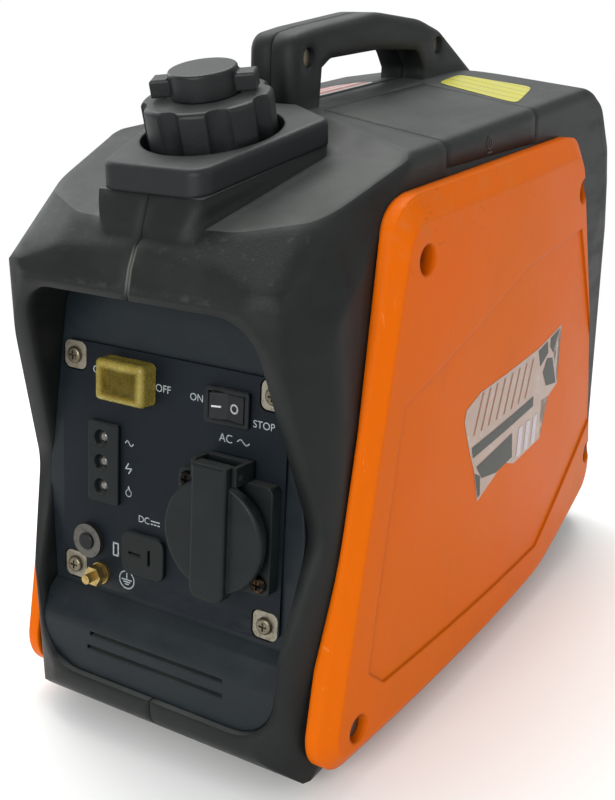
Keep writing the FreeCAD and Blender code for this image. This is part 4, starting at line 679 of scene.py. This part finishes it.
def circle(x, v, radius, count=28):
    return [(x + radius * math.cos(math.tau * n / count),
             v + radius * math.sin(math.tau * n / count)) for n in range(count + 1)]


def wave(x, v, step, height):
    """One full wave of eight steps to the right of a place."""
    return [(x + step * n, v + height * math.sin(n * math.pi / 4)) for n in range(9)]


def earth_mark(built, x, v):
    stroke(built, circle(x, v, 4.6), 0.7)
    stroke(built, [(x, v + 3.4), (x, v)])
    for n, half in enumerate((3.0, 2.0, 1.0)):
        stroke(built, [(x - half, v - 1.2 * n), (x + half, v - 1.2 * n)])


def direct_current_mark(built, x, v):
    """A line over three dashes."""
    stroke(built, [(x, v), (x + 5.0, v)])
    for n in range(3):
        stroke(built, [(x + 2.0 * n, v - 1.6), (x + 1.0 + 2.0 * n, v - 1.6)])


def lamp_marks(built, x):
    """Output wave, overload flash and oil drop, beside the three indicator lamps."""
    stroke(built, wave(x, 16.4, 0.6, 1.2))
    stroke(built, [(x + 2.0, 6.2), (x + 0.2, 3.4), (x + 4.0, 3.8), (x + 2.2, 1.2)])
    middle, radius, half_turn = x + 2.2, 1.7, 0.9 * math.pi
    turns = [half_turn * n / 8 for n in range(-8, 9)]
    drop = [(middle + radius * math.sin(t), -8.9 - radius * math.cos(t)) for t in turns]
    stroke(built, drop + [(middle, -5.4), drop[0]], 0.55)


def breaker_mark(built, left, right, low, high):
    """An upright frame beside the circuit protector."""
    stroke(built, [(left, high), (right, high), (right, low), (left, low), (left, high)], 0.8)


def panel_symbols(built):
    """The marks that aren't words, each at its place across and up the panel in mm."""
    earth_mark(built, -24.5, -54.6)
    stroke(built, wave(39.5, 30.5, 0.8, 1.1))
    direct_current_mark(built, -9.5, -19.8)
    lamp_marks(built, -26.0)
    breaker_mark(built, -33.2, -30.2, -43.4, -37.0)


def panel_marks():
    """Printed words and symbols on the panel, joined to one piece."""
    white = ink("panel_ink", (0.27, 0.30, 0.31), (0.07, 0.08, 0.085))
    built = bmesh.new()
    upright = Matrix.Rotation(math.pi / 2 - PANEL_LEAN, 4, "X")
    for words, x, v, height in PANEL_WORDS:
        data = written(words, height)
        data.transform(Matrix.Translation(on_panel(x, MARK_DEPTH, v)) @ upright)
        built.from_mesh(data)
        bpy.data.meshes.remove(data)
    panel_symbols(built)
    ride_and_slot(place_mesh("panel_marks", built, white), "machine")


def rocker_marks():
    """The bar and ring moulded on the engine rocker."""
    x, v, width = 34.2, 45.8, 0.8
    reach, lift = 0.03, 0.00012

    def build(built):
        for points in ([(x - 6.4, v), (x - 2.6, v)], circle(x + 4.4, v, 1.9, 20)):
            stroke(built, points, width, depth=0.0)

    white = ink("rocker_ink", (0.48, 0.50, 0.50), (0.20, 0.21, 0.21))
    piece = make_piece("rocker_marks", build, white, "engine_rocker")
    tree = surface_tree("engine_rocker")
    look = Vector((0.0, math.cos(PANEL_LEAN), -math.sin(PANEL_LEAN)))
    for vertex in piece.data.vertices:
        hit = tree.ray_cast(vertex.co - look * reach, look)[0]
        if hit is not None:
            vertex.co = hit - look * lift


# ----------------------------------------------------------------------------------------------
# Starter rope
# ----------------------------------------------------------------------------------------------
ROPE_INNER, ROPE_OUTER = Vector((-0.0880, -0.013, 0.191)), Vector((-0.0930, -0.013, 0.191))
ROPE_RADIUS = 0.0017


def drawn_rope():
    """The rope between the reel's guide and the grip, as a short straight tube."""
    rings, sides = 20, 14

    def build(built):
        turned = Matrix.Translation(ROPE_INNER) @ Matrix.Rotation(-math.pi / 2, 4, "Y")
        made = bmesh.ops.create_circle(built, cap_ends=True, radius=ROPE_RADIUS, segments=sides,
                                       matrix=turned)
        face = made["verts"][0].link_faces[0]
        for _ in range(rings):
            extruded = bmesh.ops.extrude_face_region(built, geom=[face], use_keep_orig=False)["geom"]
            verts = [part for part in extruded if isinstance(part, bmesh.types.BMVert)]
            bmesh.ops.translate(built, verts=verts, vec=(ROPE_OUTER - ROPE_INNER) / rings)
            face = next(part for part in extruded if isinstance(part, bmesh.types.BMFace))

    cord = NODES["starter_rope"].material_slots[0].material
    piece = make_piece("drawn_rope", build, cord, None)
    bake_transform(piece)


# ----------------------------------------------------------------------------------------------
# Stage
# ----------------------------------------------------------------------------------------------
WHITE = (1.0, 1.0, 1.0, 1.0)
# How far from the middle the paper starts to turn white, and where it is all white.
PAPER_FADE = (0.30, 0.78)
CAMERA_PLACE = Vector((0.3288, -0.5707, 0.3654))
CAMERA_AZIMUTH, CAMERA_PITCH = math.radians(32.2), math.radians(19.6)


def paper():
    """Pale studio paper that turns into the white background away from the machine."""
    s = Surface("floor_paper")
    tone = s.band(s.noise(1.5, 3.0), 0.3, 0.7)
    s.finish(s.mix(tone, (0.90, 0.90, 0.885), (0.92, 0.92, 0.91)), 0.8,
             s.bump(s.noise(60.0), 0.0002, 0.2))
    reach = s.add("ShaderNodeVectorMath", operation="LENGTH")
    s.join(s.place, reach.inputs[0])
    white = s.add("ShaderNodeEmission")
    white.inputs["Color"].default_value = WHITE
    return s.cross(s.band(reach.outputs["Value"], *PAPER_FADE), s.shader.outputs[0], white.outputs[0])


def studio_floor(settings):
    built = bmesh.new()
    bmesh.ops.create_grid(built, x_segments=1, y_segments=1, size=settings.floor_size)
    floor = place_mesh("floor", built, paper())


def studio_world(settings):
    """A pale sky that lights the scene, and plain white where the camera sees past the floor."""
    world = bpy.data.worlds.new("studio")
    bpy.context.scene.world = world
    world.use_nodes = True
    tree = world.node_tree
    background = tree.nodes["Background"]
    background.inputs["Color"].default_value = (*settings.sky, 1.0)
    background.inputs["Strength"].default_value = settings.sky_strength
    white = tree.nodes.new("ShaderNodeBackground")
    white.inputs["Color"].default_value = WHITE
    choose = tree.nodes.new("ShaderNodeMixShader")
    path = tree.nodes.new("ShaderNodeLightPath")
    seen = tree.nodes.new("ShaderNodeMath")
    seen.operation = "MAXIMUM"
    tree.links.new(path.outputs["Is Camera Ray"], seen.inputs[0])
    tree.links.new(path.outputs["Is Transmission Ray"], seen.inputs[1])
    tree.links.new(seen.outputs[0], choose.inputs["Fac"])
    tree.links.new(background.outputs[0], choose.inputs[1])
    tree.links.new(white.outputs[0], choose.inputs[2])
    tree.links.new(choose.outputs[0], tree.nodes["World Output"].inputs["Surface"])


def lamp(name, place, aim, size, power, colour):
    """A rectangular light at a place, turned to shine at aim."""
    light = bpy.data.lights.new(name, "AREA")
    light.shape = "RECTANGLE"
    light.size, light.size_y = size
    light.energy = power
    light.color = colour
    holder = bpy.data.objects.new(name, light)
    holder.location = place
    holder.rotation_euler = (Vector(aim) - Vector(place)).to_track_quat("-Z", "Y").to_euler()
    bpy.context.scene.collection.objects.link(holder)


def lights(settings):
    lamp("overhead", (-0.5, 0.5, 1.9), (0.0, 0.0, 0.2), (1.6, 1.2), settings.overhead,
         (1.0, 0.99, 0.97))
    lamp("right", (1.9, -0.3, 1.1), (0.0, 0.0, 0.15), (1.0, 1.0), settings.side, (1.0, 0.98, 0.95))
    lamp("front", (0.25, -1.9, 0.75), (0.0, 0.0, 0.15), (1.2, 0.8), settings.front, (1.0, 0.99, 0.97))
    lamp("left_back", (-1.7, 0.3, 1.0), (0.0, 0.0, 0.2), (1.0, 1.2), settings.back, (0.97, 0.99, 1.0))


def camera(settings):
    data = bpy.data.cameras.new("camera")
    data.lens = settings.lens
    holder = bpy.data.objects.new("camera", data)
    turn = (Matrix.Rotation(CAMERA_AZIMUTH, 4, "Z")
            @ Matrix.Rotation(math.pi / 2 - CAMERA_PITCH, 4, "X"))
    holder.matrix_world = Matrix.Translation(CAMERA_PLACE) @ turn
    bpy.context.scene.collection.objects.link(holder)
    bpy.context.scene.camera = holder
    bpy.context.scene.view_settings.view_transform = "Standard"


class StageSettings(bpy.types.PropertyGroup):
    lens: FloatProperty(name="Lens", description="Camera focal length", default=53.0, min=10.0,
                        max=200.0)
    floor_size: FloatProperty(name="Floor", description="Half the floor's side", default=4.0,
                              unit="LENGTH")
    sky: FloatVectorProperty(name="Sky", description="Colour of the studio's own light",
                             default=(0.95, 0.98, 1.0), size=3, subtype="COLOR")
    sky_strength: FloatProperty(name="Sky strength", description="Level of the studio's own light",
                                default=0.62)
    overhead: FloatProperty(name="Overhead", description="Power of the overhead light",
                            default=30.0, unit="POWER")
    side: FloatProperty(name="Side", description="Power of the light on the right",
                        default=7.0, unit="POWER")
    front: FloatProperty(name="Front", description="Power of the light in front",
                         default=27.0, unit="POWER")
    back: FloatProperty(name="Back", description="Power of the light behind",
                        default=10.0, unit="POWER")


class GENERATOR_OT_surfaces(bpy.types.Operator):
    """Gives every carried-over node its surface"""
    bl_idname = "generator.surfaces"
    bl_label = "Dress Surfaces"

    def execute(self, context):
        dress_nodes()
        return {"FINISHED"}


class GENERATOR_OT_films(bpy.types.Operator):
    """Lays the labels, the cover's decal and the painted shade of the hatch's catch"""
    bl_idname = "generator.films"
    bl_label = "Lay Films"

    def execute(self, context):
        roof_label()
        handle_label()
        cover_decal()
        hatch_catch()
        return {"FINISHED"}


class GENERATOR_OT_marks(bpy.types.Operator):
    """Prints the marks on the panel and the rocker"""
    bl_idname = "generator.marks"
    bl_label = "Print Marks"

    def execute(self, context):
        panel_marks()
        rocker_marks()
        return {"FINISHED"}


class GENERATOR_OT_rope(bpy.types.Operator):
    """Runs the starter rope from its guide to the grip"""
    bl_idname = "generator.rope"
    bl_label = "Run Starter Rope"

    def execute(self, context):
        drawn_rope()
        return {"FINISHED"}


class GENERATOR_OT_stage(bpy.types.Operator):
    """Sets up the floor, the lights and the camera"""
    bl_idname = "generator.stage"
    bl_label = "Set Stage"

    def execute(self, context):
        settings = context.scene.generator_stage
        studio_floor(settings)
        studio_world(settings)
        lights(settings)
        camera(settings)
        return {"FINISHED"}


class GENERATOR_PT_panel(bpy.types.Panel):
    bl_label = "Generator"
    bl_idname = "GENERATOR_PT_panel"
    bl_space_type = "VIEW_3D"
    bl_region_type = "UI"
    bl_category = "Generator"

    def draw(self, context):
        for operator in OPERATORS:
            self.layout.operator(operator.bl_idname)
        settings = context.scene.generator_stage
        for name in ("lens", "floor_size", "sky", "sky_strength", "overhead", "side", "front", "back"):
            self.layout.prop(settings, name)


OPERATORS = (GENERATOR_OT_surfaces, GENERATOR_OT_films, GENERATOR_OT_marks, GENERATOR_OT_rope,
             GENERATOR_OT_stage)
CLASSES = (StageSettings,) + OPERATORS + (GENERATOR_PT_panel,)


def register():
    for each in CLASSES:
        bpy.utils.register_class(each)
    bpy.types.Scene.generator_stage = PointerProperty(type=StageSettings)


def unregister():
    del bpy.types.Scene.generator_stage
    for each in reversed(CLASSES):
        bpy.utils.unregister_class(each)


def main():
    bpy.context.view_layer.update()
    register()
    bpy.ops.generator.surfaces()
    bpy.ops.generator.films()
    bpy.ops.generator.marks()
    bpy.ops.generator.rope()
    bpy.ops.generator.stage()


if __name__ == "__main__":
    main()
